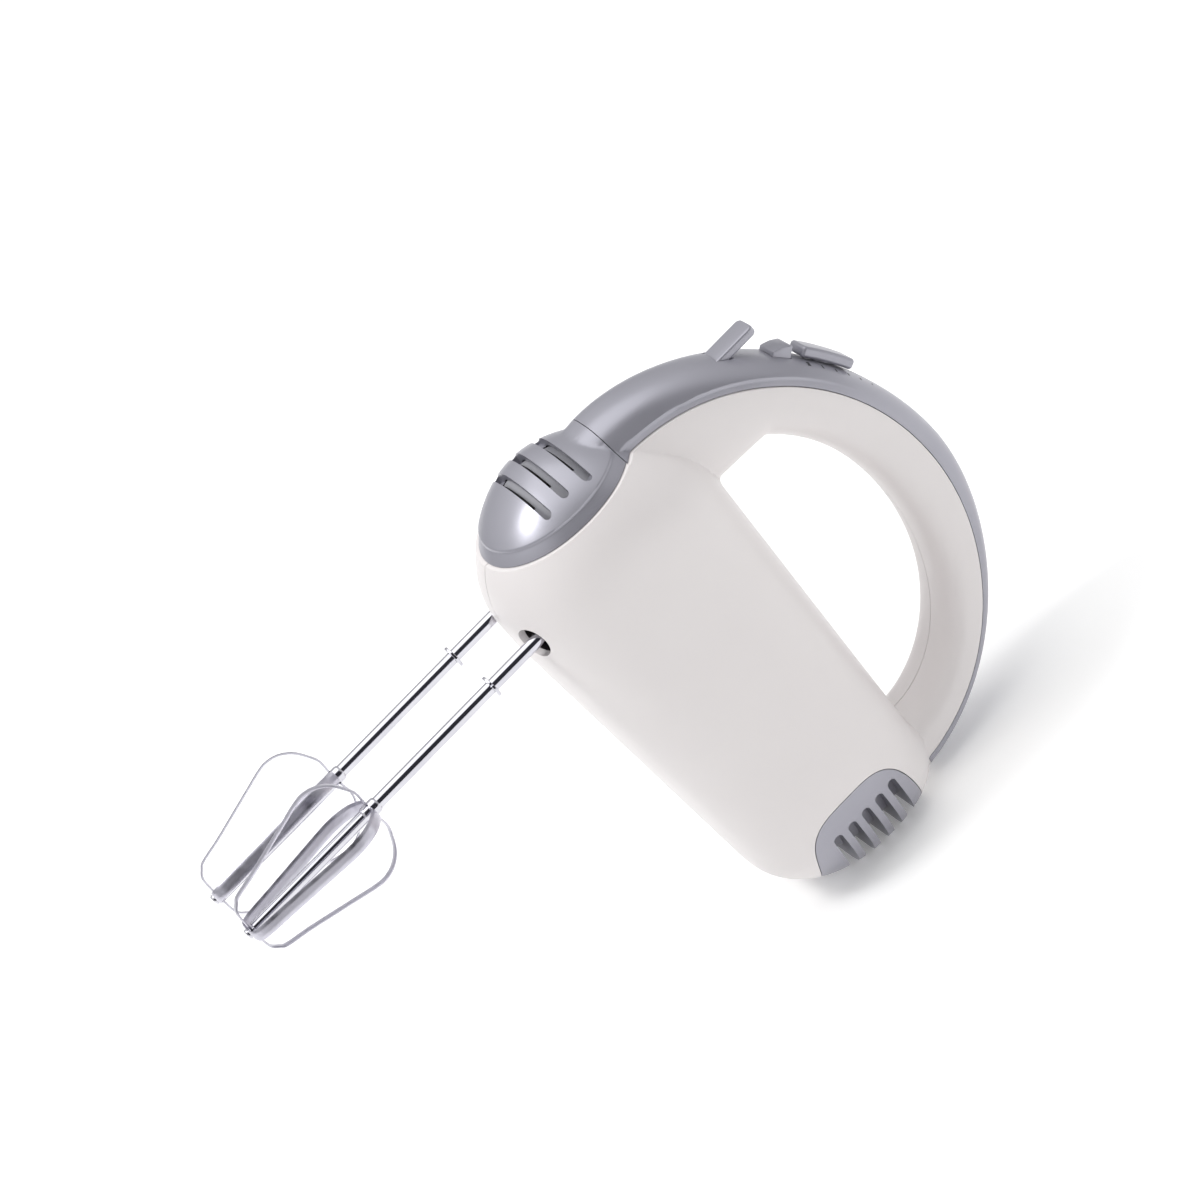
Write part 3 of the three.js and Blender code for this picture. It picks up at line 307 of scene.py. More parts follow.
def body_stations():
    """Heights of the body's rings: close together where it rounds over at the heel and the nose."""
    heel = HEEL_ROUND_HEIGHT * (1 - np.cos(np.linspace(0, math.pi / 2, 16)))
    middle = np.arange(28.0, NOSE_START_HEIGHT, 3.5)
    nose = lerp(NOSE_START_HEIGHT, NOSE_Z, np.sin(np.radians(np.linspace(0, 87.5, 58))))
    border = np.arange(CAP_SEAM_Z - 1, CAP_SEAM_Z + CAP_BORDER_WIDTH + 1, 0.3)
    outside = (nose < border[0] - 0.2) | (nose > border[-1] + 0.2)
    return np.sort(np.concatenate([heel, middle, nose[outside], border]))


def body_form(inset, around=176, border=False):
    """The body's form, shrunk all round; with border, set in along the cap's rear edge."""
    rings = []
    least = 0.4
    for z in body_stations():
        x, half_height, half_width, power = body_section(z)
        across, side = outline_of(
            max(half_height - inset, least), max(half_width - inset, least), power, around
        )
        height = inset + z * (NOSE_Z - 2 * inset) / NOSE_Z
        rings.append(np.stack([x + across, side, np.full(around, height)], 1))
    grid = np.array(rings)
    if border:
        depth = CAP_BORDER_DEPTH * stepped(grid[..., 2:] - CAP_SEAM_Z, CAP_BORDER_WIDTH)
        grid = grid - grid_normals(grid) * depth
    return loft(grid)


def hoop_outer(angle):
    """From the hoop's centre to its outer edge, at an angle from +X towards +Z."""
    c = abs(math.cos(angle)) / HOOP_RADIUS_X
    s = abs(math.sin(angle)) / (HOOP_FRONT_Z if angle > 0 else HOOP_REAR_Z)
    return (c**HOOP_POWER + s**HOOP_POWER) ** (-1 / HOOP_POWER)


def hoop_inner(angle):
    """From the hoop's centre to the edge of the grip opening."""
    c, s = math.cos(angle), math.sin(angle)
    dx, dz = HOOP_X - GRIP_X, HOOP_Z - GRIP_Z
    a = (c / GRIP_RADIUS_X) ** 2 + (s / GRIP_RADIUS_Z) ** 2
    b = c * dx / GRIP_RADIUS_X**2 + s * dz / GRIP_RADIUS_Z**2
    k = (dx / GRIP_RADIUS_X) ** 2 + (dz / GRIP_RADIUS_Z) ** 2 - 1
    curve = (-b + math.sqrt(b * b - a * k)) / a
    straight = (GRIP_FRONT_Z - HOOP_Z) / s if s > 0 else math.inf
    return min(curve, straight)


def hoop_half_width(angle):
    """Half the handle's width; it widens towards both legs."""
    front = float(smoothstep(math.sin(angle), 0.2, 1))
    rear = float(smoothstep(-math.sin(angle), 0.4, 1))
    return HOOP_HALF_WIDTH + HOOP_FRONT_FLARE * front + HOOP_REAR_FLARE * rear


def hoop_ring(angle, inset, around):
    """One ring of the handle, at an angle about the hoop's centre."""
    outer, inner = hoop_outer(angle) - inset, hoop_inner(angle) + inset
    half_width = hoop_half_width(angle) - inset
    out, side = outline_of((outer - inner) / 2, half_width, HOOP_SECTION_POWER, around)
    reach = (outer + inner) / 2 + out
    return np.stack([HOOP_X + reach * math.cos(angle), side, HOOP_Z + reach * math.sin(angle)], 1)


def beyond_seam(points):
    """How far points lie outside the seam between cover and shells, mm."""
    dx, dz = points[..., 0] - SEAM_X, points[..., 2] - SEAM_Z
    scaled = np.sqrt((dx / SEAM_RADIUS_X) ** 2 + (dz / SEAM_RADIUS_Z) ** 2)
    return (scaled - 1) * np.sqrt(dx**2 + dz**2) / np.maximum(scaled, 1e-6)


def hoop_form(inset, around=144, crease=False):
    """The handle's form, shrunk all round; with crease, set in along the cover's lower band."""
    angles = np.radians(np.linspace(-LEG_ANGLE, LEG_ANGLE, 150))
    grid = np.array([hoop_ring(angle, inset, around) for angle in angles])
    if crease:
        band = stepped(beyond_seam(grid), CREASE_WIDTH)
        depth = CREASE_DEPTH * band * smoothstep(grid[..., 2], *CREASE_FADE)
        grid = grid - grid_normals(grid) * depth[..., None]
    return loft(grid)


# ---------------------------------------------------------------- shells, cover, cap, grille


def ellipse(x, z, radius_x, radius_z, count=160):
    angles = np.linspace(0, 2 * math.pi, count, endpoint=False)
    return [(x + radius_x * math.cos(a), z + radius_z * math.sin(a)) for a in angles]


def cover_region(offset):
    """Everything outside the seam between the cover and the shells."""
    front = block(SEAM_FRONT_X - offset, FAR, -FAR, FAR, SEAM_Z, FAR)
    rear = block(SEAM_REAR_X - offset, FAR - 1, -FAR + 1, FAR - 1, -FAR, SEAM_Z + 1)
    seam = ellipse(SEAM_X, SEAM_Z, SEAM_RADIUS_X - offset, SEAM_RADIUS_Z - offset)
    inside = prism(seam, -FAR - 5, FAR + 5)
    return combine(combine(front, "UNION", rear), "DIFFERENCE", inside)


def cap_region(offset):
    """Everything in front of the seam between the cap and the shells."""
    return block(-FAR, SEAM_FRONT_X - GAP + offset, -FAR, FAR, CAP_SEAM_Z - offset, FAR)


def grille_region(offset):
    """The grille's outline from the side: a superellipse's upper half, then straight down."""
    radius_x, radius_z = GRILLE_RADIUS_X + offset, GRILLE_RADIUS_Z + offset
    outline = []
    for angle in np.linspace(0, math.pi, 60):
        c, s = math.cos(angle), math.sin(angle)
        across = math.copysign(abs(c) ** (2 / GRILLE_POWER), c)
        outline.append((GRILLE_X + radius_x * across, radius_z * s ** (2 / GRILLE_POWER)))
    outline += [(GRILLE_X - radius_x, -20), (GRILLE_X + radius_x, -20)]
    return prism(outline, -FAR, FAR)


def gland_hole():
    """The stepped hole for the cord gland."""
    return turned(
        "z",
        (
            (GLAND_OUTER + GAP, -5),
            (GLAND_OUTER + GAP, GLAND_FLANGE_Z),
            (GLAND_FLANGE + GAP, GLAND_FLANGE_Z),
            (GLAND_FLANGE + GAP, GLAND_TOP_Z),
        ),
        (GLAND_X, 0, 0),
    )


def side_distance(points):
    """How far inside the body's and the handle's surfaces points lie, roughly, mm; negative is outside."""
    body, hoop = [], []
    for x, y, z in points:
        centre, half_height, half_width, power = body_section(min(max(z, 0), NOSE_Z - 0.5))
        reach = (abs(x - centre) / half_height) ** power + (abs(y) / half_width) ** power
        body.append((1 - reach ** (1 / power)) * min(half_height, half_width))
        angle = math.atan2(z - HOOP_Z, x - HOOP_X)
        outer, inner = hoop_outer(angle), hoop_inner(angle)
        out = (math.hypot(x - HOOP_X, z - HOOP_Z) - (outer + inner) / 2) / ((outer - inner) / 2)
        side = y / hoop_half_width(angle)
        power = HOOP_SECTION_POWER
        reach = (abs(out) ** power + abs(side) ** power) ** (1 / power)
        hoop.append((1 - reach) * min((outer - inner) / 2, hoop_half_width(angle)))
    return np.array(body), np.array(hoop)


def blended_outer(detailed=False, reach=3.0, passes=14):
    """Body and handle joined, with the corner between them eased; detailed adds cap border and crease."""
    hoop = hoop_form(0, 288 if detailed else 144, crease=detailed)
    joined = combine(body_form(0, border=detailed), "UNION", hoop)
    points = np.array([v.co for v in joined.data.vertices], float) / MM
    body, hoop = side_distance(points)
    near = np.clip(1 - np.maximum(np.abs(body), np.abs(hoop)) / reach, 0, 1)
    group = joined.vertex_groups.new(name="corner")
    for i in np.nonzero(near > 0)[0]:
        group.add([int(i)], float(min(1, 2 * near[i])), "REPLACE")
    step = joined.modifiers.new("ease", "SMOOTH")
    step.vertex_group = "corner"
    step.factor = 0.5
    step.iterations = passes
    return apply_modifiers(joined)


def blended_inner():
    """The room inside the moulded walls."""
    return combine(body_form(WALL, 120), "UNION", hoop_form(WALL, 96))


def shell(side, skin):
    """One half of the clamshell with its screw bosses; side is -1 on the left and +1 on the right."""
    if side < 0:
        half = block(-FAR, FAR, -FAR, -GAP / 2, -FAR, FAR)
    else:
        half = block(-FAR, FAR, GAP / 2, FAR, -FAR, FAR)
    piece = copy_of(skin)
    inside = combine(body_form(WALL / 2, 96), "UNION", hoop_form(WALL / 2, 72))
    for x, z in SHELL_SCREWS:
        post = bar("y", BOSS_RADIUS, -45, 45, (x, 0, z), 32)
        combine(post, "INTERSECT", inside, keep=True)
        combine(piece, "UNION", post)
    bpy.data.objects.remove(inside)
    combine(piece, "INTERSECT", half)
    combine(piece, "DIFFERENCE", cover_region(GAP), cap_region(GAP), grille_region(GAP), gland_hole())
    for across in (-SPINDLE_Y, SPINDLE_Y):
        mouth = bar("x", MOUTH_RADIUS, MOUTH_LOW_X, MOUTH_HIGH_X, (0, across, SPINDLE_Z), 72)
        combine(piece, "DIFFERENCE", mouth)
    for x, z in SHELL_SCREWS:
        combine(piece, "DIFFERENCE", bar("y", BOSS_HOLE, -15, 45, (x, 0, z), 24))
        combine(piece, "DIFFERENCE", bar("y", HEAD_HOLE, HEAD_Y, 60, (x, 0, z), 40))
    return piece


def nose_slot(x):
    """A long slot with round ends, across the nose."""
    half = NOSE_SLOT_HEIGHT / 2
    straight = NOSE_SLOT_HALF_WIDTH - half
    turn = np.linspace(0, math.pi, 15)
    outline = [(x + half * math.cos(a), straight + half * math.sin(a)) for a in turn]
    outline += [(x - half * math.cos(a), -straight - half * math.sin(a)) for a in turn]
    return prism(outline, NOSE_SLOT_REAR_Z, FAR, axis="z")


def heel_grille():
    """Four ribs and two end blocks, with slots that run round both sides."""
    piece = combine(body_form(0), "DIFFERENCE", body_form(GRILLE_WALL, 120))
    combine(piece, "INTERSECT", grille_region(0))
    for i in range(SLOT_COUNT):
        x = SLOT_FIRST_X - i * RIB_PITCH
        left, right = x - BORE_HALF_WIDTH, x + BORE_HALF_WIDTH
        bore = block(left, right, -BORE_HALF_LENGTH, BORE_HALF_LENGTH, -5, BORE_DEPTH)
        combine(piece, "DIFFERENCE", slot_cutter(x, SLOT_WIDTH / 2), bore)
    first = SLOT_FIRST_X + SLOT_WIDTH / 2
    last = SLOT_FIRST_X - (SLOT_COUNT - 1) * RIB_PITCH - SLOT_WIDTH / 2
    combine(piece, "DIFFERENCE", block(first, 40, -60, 60, -5, BLOCK_FOOT_Z))
    combine(piece, "DIFFERENCE", block(-60, last, -60, 60, -5, REAR_BLOCK_FOOT_Z))
    return combine(piece, "DIFFERENCE", gland_hole())


def slot_cutter(x, half):
    """The room of one heel slot outside its floor, with a round end up each side."""
    end = SLOT_SIDE_END - half
    turn = np.linspace(0, math.pi, 13)
    outline = [(x + half, -5.0)] + [(x + half * math.cos(a), end + half * math.sin(a)) for a in turn]
    outline += [(x - half, -5.0)]
    cutter = prism(outline, -60, 60)
    return combine(cutter, "DIFFERENCE", body_form(SLOT_DEPTH, 120))


def air_guide():
    """The second skin behind the nose slots."""
    piece = combine(body_form(WALL + GAP + 0.3, 120), "DIFFERENCE", body_form(WALL + GAP + 2, 96))
    combine(piece, "INTERSECT", block(-38, SEAM_FRONT_X - 6, -FAR, FAR, CAP_SEAM_Z + 2, FAR))
    for x in NOSE_SLOT_XS:
        combine(piece, "DIFFERENCE", block(x - 3, x - 0.4, -14, 14, CAP_SEAM_Z, FAR))
    return piece


# ---------------------------------------------------------------- controls


def hoop_top_x(z):
    """X of the outer edge of the handle's front half, at z."""
    lean = (z - HOOP_Z) / HOOP_FRONT_Z
    return HOOP_X + HOOP_RADIUS_X * (1 - lean**HOOP_POWER) ** (1 / HOOP_POWER)


def slider_circle():
    """Centre and radius of the circle that the slider runs on."""
    a, b, c = [(hoop_top_x(z), z) for z in SLIDE_CURVE_ZS]
    d = 2 * (a[0] * (b[1] - c[1]) + b[0] * (c[1] - a[1]) + c[0] * (a[1] - b[1]))
    square = [p[0] ** 2 + p[1] ** 2 for p in (a, b, c)]
    x = (square[0] * (b[1] - c[1]) + square[1] * (c[1] - a[1]) + square[2] * (a[1] - b[1])) / d
    z = (square[0] * (c[0] - b[0]) + square[1] * (a[0] - c[0]) + square[2] * (b[0] - a[0])) / d
    return x, z, math.hypot(a[0] - x, a[1] - z)


SLIDE_X, SLIDE_Z, SLIDE_RADIUS = slider_circle()
SLIDER_FRONT = math.asin((SLIDER_FRONT_Z - SLIDE_Z) / SLIDE_RADIUS)
SLIDER_REAR = math.asin((SLIDER_REAR_Z - SLIDE_Z) / SLIDE_RADIUS)
TONGUE_ANGLE = (SLIDER_FRONT + SLIDER_REAR) / 2

TURBO_LEAN = (TURBO_Z - HOOP_Z) / HOOP_FRONT_Z
TURBO_X = hoop_top_x(TURBO_Z)
TURBO_ANGLE = math.atan2(
    TURBO_LEAN ** (HOOP_POWER - 1) / HOOP_FRONT_Z,
    ((TURBO_X - HOOP_X) / HOOP_RADIUS_X) ** (HOOP_POWER - 1) / HOOP_RADIUS_X,
)


def arc_slab(inner, outer, start, end, half_width, steps=16):
    """A curved slab on the slider's circle, between two radii and two angles."""
    angles = np.linspace(start, end, steps)
    outline = [(SLIDE_X + outer * math.cos(a), SLIDE_Z + outer * math.sin(a)) for a in angles]
    outline += [(SLIDE_X + inner * math.cos(a), SLIDE_Z + inner * math.sin(a)) for a in angles[::-1]]
    return prism(outline, -half_width, half_width)


def turbo_place(out, along):
    """A point on the turbo button's own axes, as (x, z)."""
    c, s = math.cos(TURBO_ANGLE), math.sin(TURBO_ANGLE)
    return TURBO_X + out * c - along * s, TURBO_Z + out * s + along * c


def turbo_block(out0, out1, half_width, half_length):
    """A block on the turbo button's own axes."""
    corners = [(out0, -half_length), (out1, -half_length), (out1, half_length), (out0, half_length)]
    return prism([turbo_place(*corner) for corner in corners], -half_width, half_width)


def handle_cover(skin):
    """The grey strip along the handle, with openings for the lever, the button and the slider's tongue."""
    piece = combine(skin, "INTERSECT", cover_region(0))
    side = LEVER_HALF_WIDTH + LEVER_GAP
    lever_slot = block(60, 100, -side, side, LEVER_REAR_Z - LEVER_GAP, LEVER_FRONT_Z + LEVER_GAP)
    turbo_hole = turbo_block(-12, 12, TURBO_HALF_WIDTH + CONTROL_GAP, TURBO_HALF_LENGTH + CONTROL_GAP)
    tongue_slot = arc_slab(
        SLIDE_RADIUS - 12,
        SLIDE_RADIUS + 8,
        TONGUE_ANGLE - SLIDER_TRAVEL - TONGUE_HALF_ANGLE - SLOT_END_GAP,
        TONGUE_ANGLE + TONGUE_HALF_ANGLE + SLOT_END_GAP,
        TONGUE_HALF_WIDTH + CONTROL_GAP,
    )
    return combine(piece, "DIFFERENCE", lever_slot, turbo_hole, tongue_slot, gland_hole())


def eject_lever():
    """An upright plate with rounded upper corners."""
    corner = 2.4
    turn = np.linspace(0, math.pi / 2, 9)
    side = LEVER_HALF_WIDTH - corner
    outline = [(LEVER_FOOT_X, -LEVER_HALF_WIDTH)]
    outline += [
        (LEVER_TOP_X - corner + corner * math.sin(a), -side - corner * math.cos(a)) for a in turn
    ]
    outline += [
        (LEVER_TOP_X - corner + corner * math.cos(a), side + corner * math.sin(a)) for a in turn
    ]
    outline += [(LEVER_FOOT_X, LEVER_HALF_WIDTH)]
    return rounded(prism(outline, LEVER_REAR_Z, LEVER_FRONT_Z, axis="z"), 0.9, 4, 40)


def turbo_button():
    """A wedge that stands proud in front and runs down to the surface behind."""
    length, proud = TURBO_HALF_LENGTH, TURBO_PROUD
    outline = [
        (TURBO_FOOT, -length),
        (proud - 0.4, -length),
        (proud, -length + 0.8),
        (proud - 1.0, 0.4),
        (proud - 3.0, length),
        (TURBO_FOOT, length),
    ]
    body = prism([turbo_place(*corner) for corner in outline], -TURBO_HALF_WIDTH, TURBO_HALF_WIDTH)
    rounded(body, 0.55, 4)
    flange = turbo_block(TURBO_FOOT, TURBO_FOOT + 1.4, TURBO_HALF_WIDTH + 1, length + 1)
    return combine(body, "UNION", flange)


def speed_slider():
    """A bevelled thumb piece that runs just above the cover, and its tongue."""
    inner = SLIDE_RADIUS + SLIDER_FLOAT
    outer = inner + SLIDER_THICKNESS
    thumb = arc_slab(inner, outer, SLIDER_REAR, SLIDER_FRONT, SLIDER_HALF_WIDTH)
    rounded(rounded(thumb, 0.9, 1, 40), 0.3, 3, 20)
    tongue = arc_slab(
        SLIDE_RADIUS - 7,
        inner + 1,
        TONGUE_ANGLE - TONGUE_HALF_ANGLE,
        TONGUE_ANGLE + TONGUE_HALF_ANGLE,
        TONGUE_HALF_WIDTH,
        3,
    )
    return combine(thumb, "UNION", tongue)


def cover_point(angle, side, lift):
    """A point on the cover's outside, at an angle about the hoop's centre and a distance to one side."""
    outer, inner = hoop_outer(angle), hoop_inner(angle)
    share = 1 - (abs(side) / hoop_half_width(angle)) ** HOOP_SECTION_POWER
    reach = (outer + inner) / 2 + (outer - inner) / 2 * share ** (1 / HOOP_SECTION_POWER) + lift
    return HOOP_X + reach * math.cos(angle), side, HOOP_Z + reach * math.sin(angle)


def mark_angle(z):
    """The angle about the hoop's centre at which its outer edge is at height z."""
    return math.atan2(z - HOOP_Z, hoop_top_x(z) - HOOP_X)


def speed_marks():
    """Printed bars beside the thumb piece: a thick one for off, then each a little shorter."""
    points, faces = [], []
    for i in range(MARK_COUNT):
        middle = MARK_FIRST_Z - i * MARK_PITCH
        half = MARK_WIDTH / 2 * (1 if i else 2)
        rear, front = middle - half, middle + half
        length = MARK_LENGTH - MARK_SHORTER * i
        start = len(points)
        for lift in (MARK_SUNK, MARK_LIFT):
            for z, side in ((rear, 0), (front, 0), (front, length), (rear, length)):
                points.append(cover_point(mark_angle(z), MARK_SIDE - side, lift))
        corners = ((3, 2, 1, 0), (4, 5, 6, 7), (0, 1, 5, 4), (1, 2, 6, 5), (2, 3, 7, 6), (3, 0, 4, 7))
        faces += [tuple(start + c for c in corner) for corner in corners]
    return outward(make(points, faces))


# ---------------------------------------------------------------- beaters


def catmull_rom(points, per_span=14):
    """A centripetal Catmull-Rom curve through points."""
    points = [np.array(p, float) for p in points]
    points = [2 * points[0] - points[1]] + points + [2 * points[-1] - points[-2]]
    curve = []
    for i in range(1, len(points) - 2):
        p = points[i - 1 : i + 3]
        knots = [0.0]
        for a, b in zip(p, p[1:]):
            knots.append(knots[-1] + max(np.linalg.norm(b - a), 1e-6) ** 0.5)
        for t in np.linspace(knots[1], knots[2], per_span, endpoint=False):
            level = list(p)
            for width, reach in ((1, 1), (2, 2), (3, 1)):
                for k in range(4 - width):
                    first = k + (width == 3)
                    low, high = knots[first], knots[first + reach]
                    level[k] = ((high - t) * level[k] + (t - low) * level[k + 1]) / (high - low)
            curve.append(level[0])
    curve.append(points[-2])
    return np.array(curve)


def evenly(curve, count):
    """The curve's points at equal steps along it."""
    steps = np.concatenate([[0], np.cumsum(np.linalg.norm(np.diff(curve, axis=0), axis=1))])
    wanted = np.linspace(0, steps[-1], count)
    return np.stack([np.interp(wanted, steps, curve[:, k]) for k in range(curve.shape[1])], 1)


def beater_loop(side, degrees, tip_x):
    """One strip from the hub round the rivet and back, in a plane at an angle about the shaft."""
    half = catmull_rom(
        (
            (HUB_RADIUS - 0.1, HUB_X),
            (8.4, HUB_X + 0.2),
            (WIDE_RADIUS * 0.55, HUB_X - 1.2),
            (WIDE_RADIUS * 0.79, WIDE_X + 9.6),
            (WIDE_RADIUS * 0.945, WIDE_X + 5),
            (WIDE_RADIUS, WIDE_X),
            (WIDE_RADIUS * 0.975, WIDE_X - 4.5),
            (WIDE_RADIUS * 0.925, WIDE_X - 9),
            (WIDE_RADIUS * 0.8, WIDE_X - 20),
            (WIDE_RADIUS * 0.672, WIDE_X - 31.5),
            (FOOT_RADIUS + 0.75, FOOT_X + 2.5),
            (FOOT_RADIUS - 0.3, FOOT_X + 0.2 + tip_x - TIP_X),
            (FOOT_RADIUS - 2.8, tip_x + 1.1),
            (0, tip_x + 0.4),
        )
    )
    down = evenly(half, 150)
    path = np.concatenate([down, down[-2::-1] * (-1, 1)])
    turn = math.radians(degrees)
    out = np.array([0, math.cos(turn), math.sin(turn)])
    across = np.array([0, -math.sin(turn), math.cos(turn)])
    centre = np.array([0, side * SPINDLE_Y, SPINDLE_Z])
    line = centre + path[:, :1] * out + path[:, 1:] * np.array([1.0, 0, 0])
    along = np.gradient(line, axis=0)
    along /= np.linalg.norm(along, axis=1, keepdims=True)
    normal = np.cross(across, along)
    thick, wide = outline_of(STRIP_THICKNESS / 2, STRIP_WIDTH / 2, 6, 28)
    rings = line[:, None] + thick[None, :, None] * normal[:, None] + wide[None, :, None] * across
    return loft(rings)


def beater_shaft(side):
    return turned(
        "x",
        (
            (0, SHAFT_TOP_X),
            (1.6, SHAFT_TOP_X),
            (SHAFT_RADIUS, SHAFT_TOP_X - 1.2),
            (SHAFT_RADIUS, HUB_X + 3.6),
            (HUB_RADIUS - 0.15, HUB_X + 3.0),
            (HUB_RADIUS, HUB_X + 2.4),
            (HUB_RADIUS, HUB_X - 2.4),
            (HUB_RADIUS - 0.15, HUB_X - 3.0),
            (SHAFT_RADIUS, HUB_X - 3.6),
            (SHAFT_RADIUS, TIP_X + 2.9),
            (SHAFT_RADIUS - 0.25, TIP_X + 2.6),
            (RIVET_RADIUS, TIP_X + 2.6),
            (RIVET_RADIUS, TIP_X),
            (RIVET_RADIUS + 1, TIP_X - 0.02),
            (RIVET_RADIUS + 0.95, TIP_X - 0.4),
            (RIVET_RADIUS + 0.5, TIP_X - 0.9),
            (0, TIP_X - GAP - 0.8),
        ),
        (0, side * SPINDLE_Y, SPINDLE_Z),
        72,
    )


def beater_collar(side, degrees):
    """A thin pressed disc with two ears."""
    at = (0, side * SPINDLE_Y, SPINDLE_Z)
    low, high = COLLAR_X - COLLAR_HALF_THICKNESS, COLLAR_X + COLLAR_HALF_THICKNESS
    disc = rounded(bar("x", COLLAR_RADIUS, low, high, at, 64), 0.25, 3)
    turn = math.radians(degrees)
    out = np.array([0, math.cos(turn), math.sin(turn)])
    across = np.array([0, -math.sin(turn), math.cos(turn)])
    corners = []
    for x in (low, high):
        for a, b in ((-1, -1), (1, -1), (1, 1), (-1, 1)):
            corners.append(np.array([x, at[1], at[2]]) + a * EAR_REACH * out + b * EAR_HALF_WIDTH * across)
    faces = [(0, 1, 2, 3), (7, 6, 5, 4), (0, 4, 5, 1), (1, 5, 6, 2), (2, 6, 7, 3), (3, 7, 4, 0)]
    ears = rounded(outward(make(corners, faces)), 0.3, 3)
    return combine(disc, "UNION", ears)


# ---------------------------------------------------------------- materials


def node_tree(name):
    """A new material, its nodes and links, and its shader."""
    material = bpy.data.materials.new(name)
    material.use_nodes = True
    nodes, links = material.node_tree.nodes, material.node_tree.links
    return material, nodes, links, nodes["Principled BSDF"]


def noise(nodes, links, scale, detail=3.0):
    """Noise over the object's own coordinates; the scale is its features per metre."""
    coordinates = nodes.new("ShaderNodeTexCoord")
    texture = nodes.new("ShaderNodeTexNoise")
    texture.inputs["Scale"].default_value = scale
    texture.inputs["Detail"].default_value = detail
    links.new(coordinates.outputs["Object"], texture.inputs["Vector"])
    return texture.outputs["Fac"]


def spread(nodes, links, value, low, high):
    """Maps a noise value from its usual range to low..high."""
    step = nodes.new("ShaderNodeMapRange")
    step.inputs["From Min"].default_value = 0.3
    step.inputs["From Max"].default_value = 0.7
    step.inputs["To Min"].default_value = low
    step.inputs["To Max"].default_value = high
    links.new(value, step.inputs["Value"])
    return step.outputs["Result"]


def tint(nodes, links, value, dark, light, shader):
    """Base colour that drifts between two near shades."""
    mix = nodes.new("ShaderNodeMix")
    mix.data_type = "RGBA"
    mix.inputs["A"].default_value = (*dark, 1)
    mix.inputs["B"].default_value = (*light, 1)
    links.new(spread(nodes, links, value, 0, 1), mix.inputs["Factor"])
    links.new(mix.outputs["Result"], shader.inputs["Base Color"])


def bumps(nodes, links, value, height, shader):
    """Small bumps, of a height in mm."""
    step = nodes.new("ShaderNodeBump")
    step.inputs["Strength"].default_value = 1.0
    step.inputs["Distance"].default_value = height * MM
    links.new(value, step.inputs["Height"])
    links.new(step.outputs["Normal"], shader.inputs["Normal"])


def plastic(name, dark, light, roughness, grain=0.012, grain_scale=2600, pearl=0.0):
    """Moulded plastic with fine grain and a slow drift in shade and gloss; some has pearl in it."""
    material, nodes, links, shader = node_tree(name)
    shader.inputs["Metallic"].default_value = pearl
    tint(nodes, links, noise(nodes, links, 22), dark, light, shader)
    gloss = spread(nodes, links, noise(nodes, links, 70), roughness - 0.03, roughness + 0.03)
    links.new(gloss, shader.inputs["Roughness"])
    bumps(nodes, links, noise(nodes, links, grain_scale, 2), grain, shader)
    shader.inputs["IOR"].default_value = 1.49
    return material


def metal(name, dark, light, roughness, grain=0.004, grain_scale=900):
    """Metal with fine marks and a slow drift in gloss."""
    material, nodes, links, shader = node_tree(name)
    shader.inputs["Metallic"].default_value = 1.0
    tint(nodes, links, noise(nodes, links, 60), dark, light, shader)
    gloss = spread(nodes, links, noise(nodes, links, 300), roughness * 0.8, roughness * 1.25)
    links.new(gloss, shader.inputs["Roughness"])
    bumps(nodes, links, noise(nodes, links, grain_scale, 2), grain, shader)
    return material


STRIPE_SCALE = 0.157  # the wave texture's scale at which one light or dark stripe is a metre wide


def striped(name, dark, light, roughness, pitch, axis, metallic=1.0):
    """Sheets or wires side by side: a wave along an axis in colour and height."""
    material, nodes, links, shader = node_tree(name)
    shader.inputs["Metallic"].default_value = metallic
    shader.inputs["Roughness"].default_value = roughness
    coordinates = nodes.new("ShaderNodeTexCoord")
    wave = nodes.new("ShaderNodeTexWave")
    wave.bands_direction = axis
    wave.inputs["Scale"].default_value = STRIPE_SCALE / (pitch * MM)
    wave.inputs["Distortion"].default_value = 0.4
    links.new(coordinates.outputs["Object"], wave.inputs["Vector"])
    tint(nodes, links, wave.outputs["Fac"], dark, light, shader)
    bumps(nodes, links, wave.outputs["Fac"], pitch * 0.15, shader)
    return material


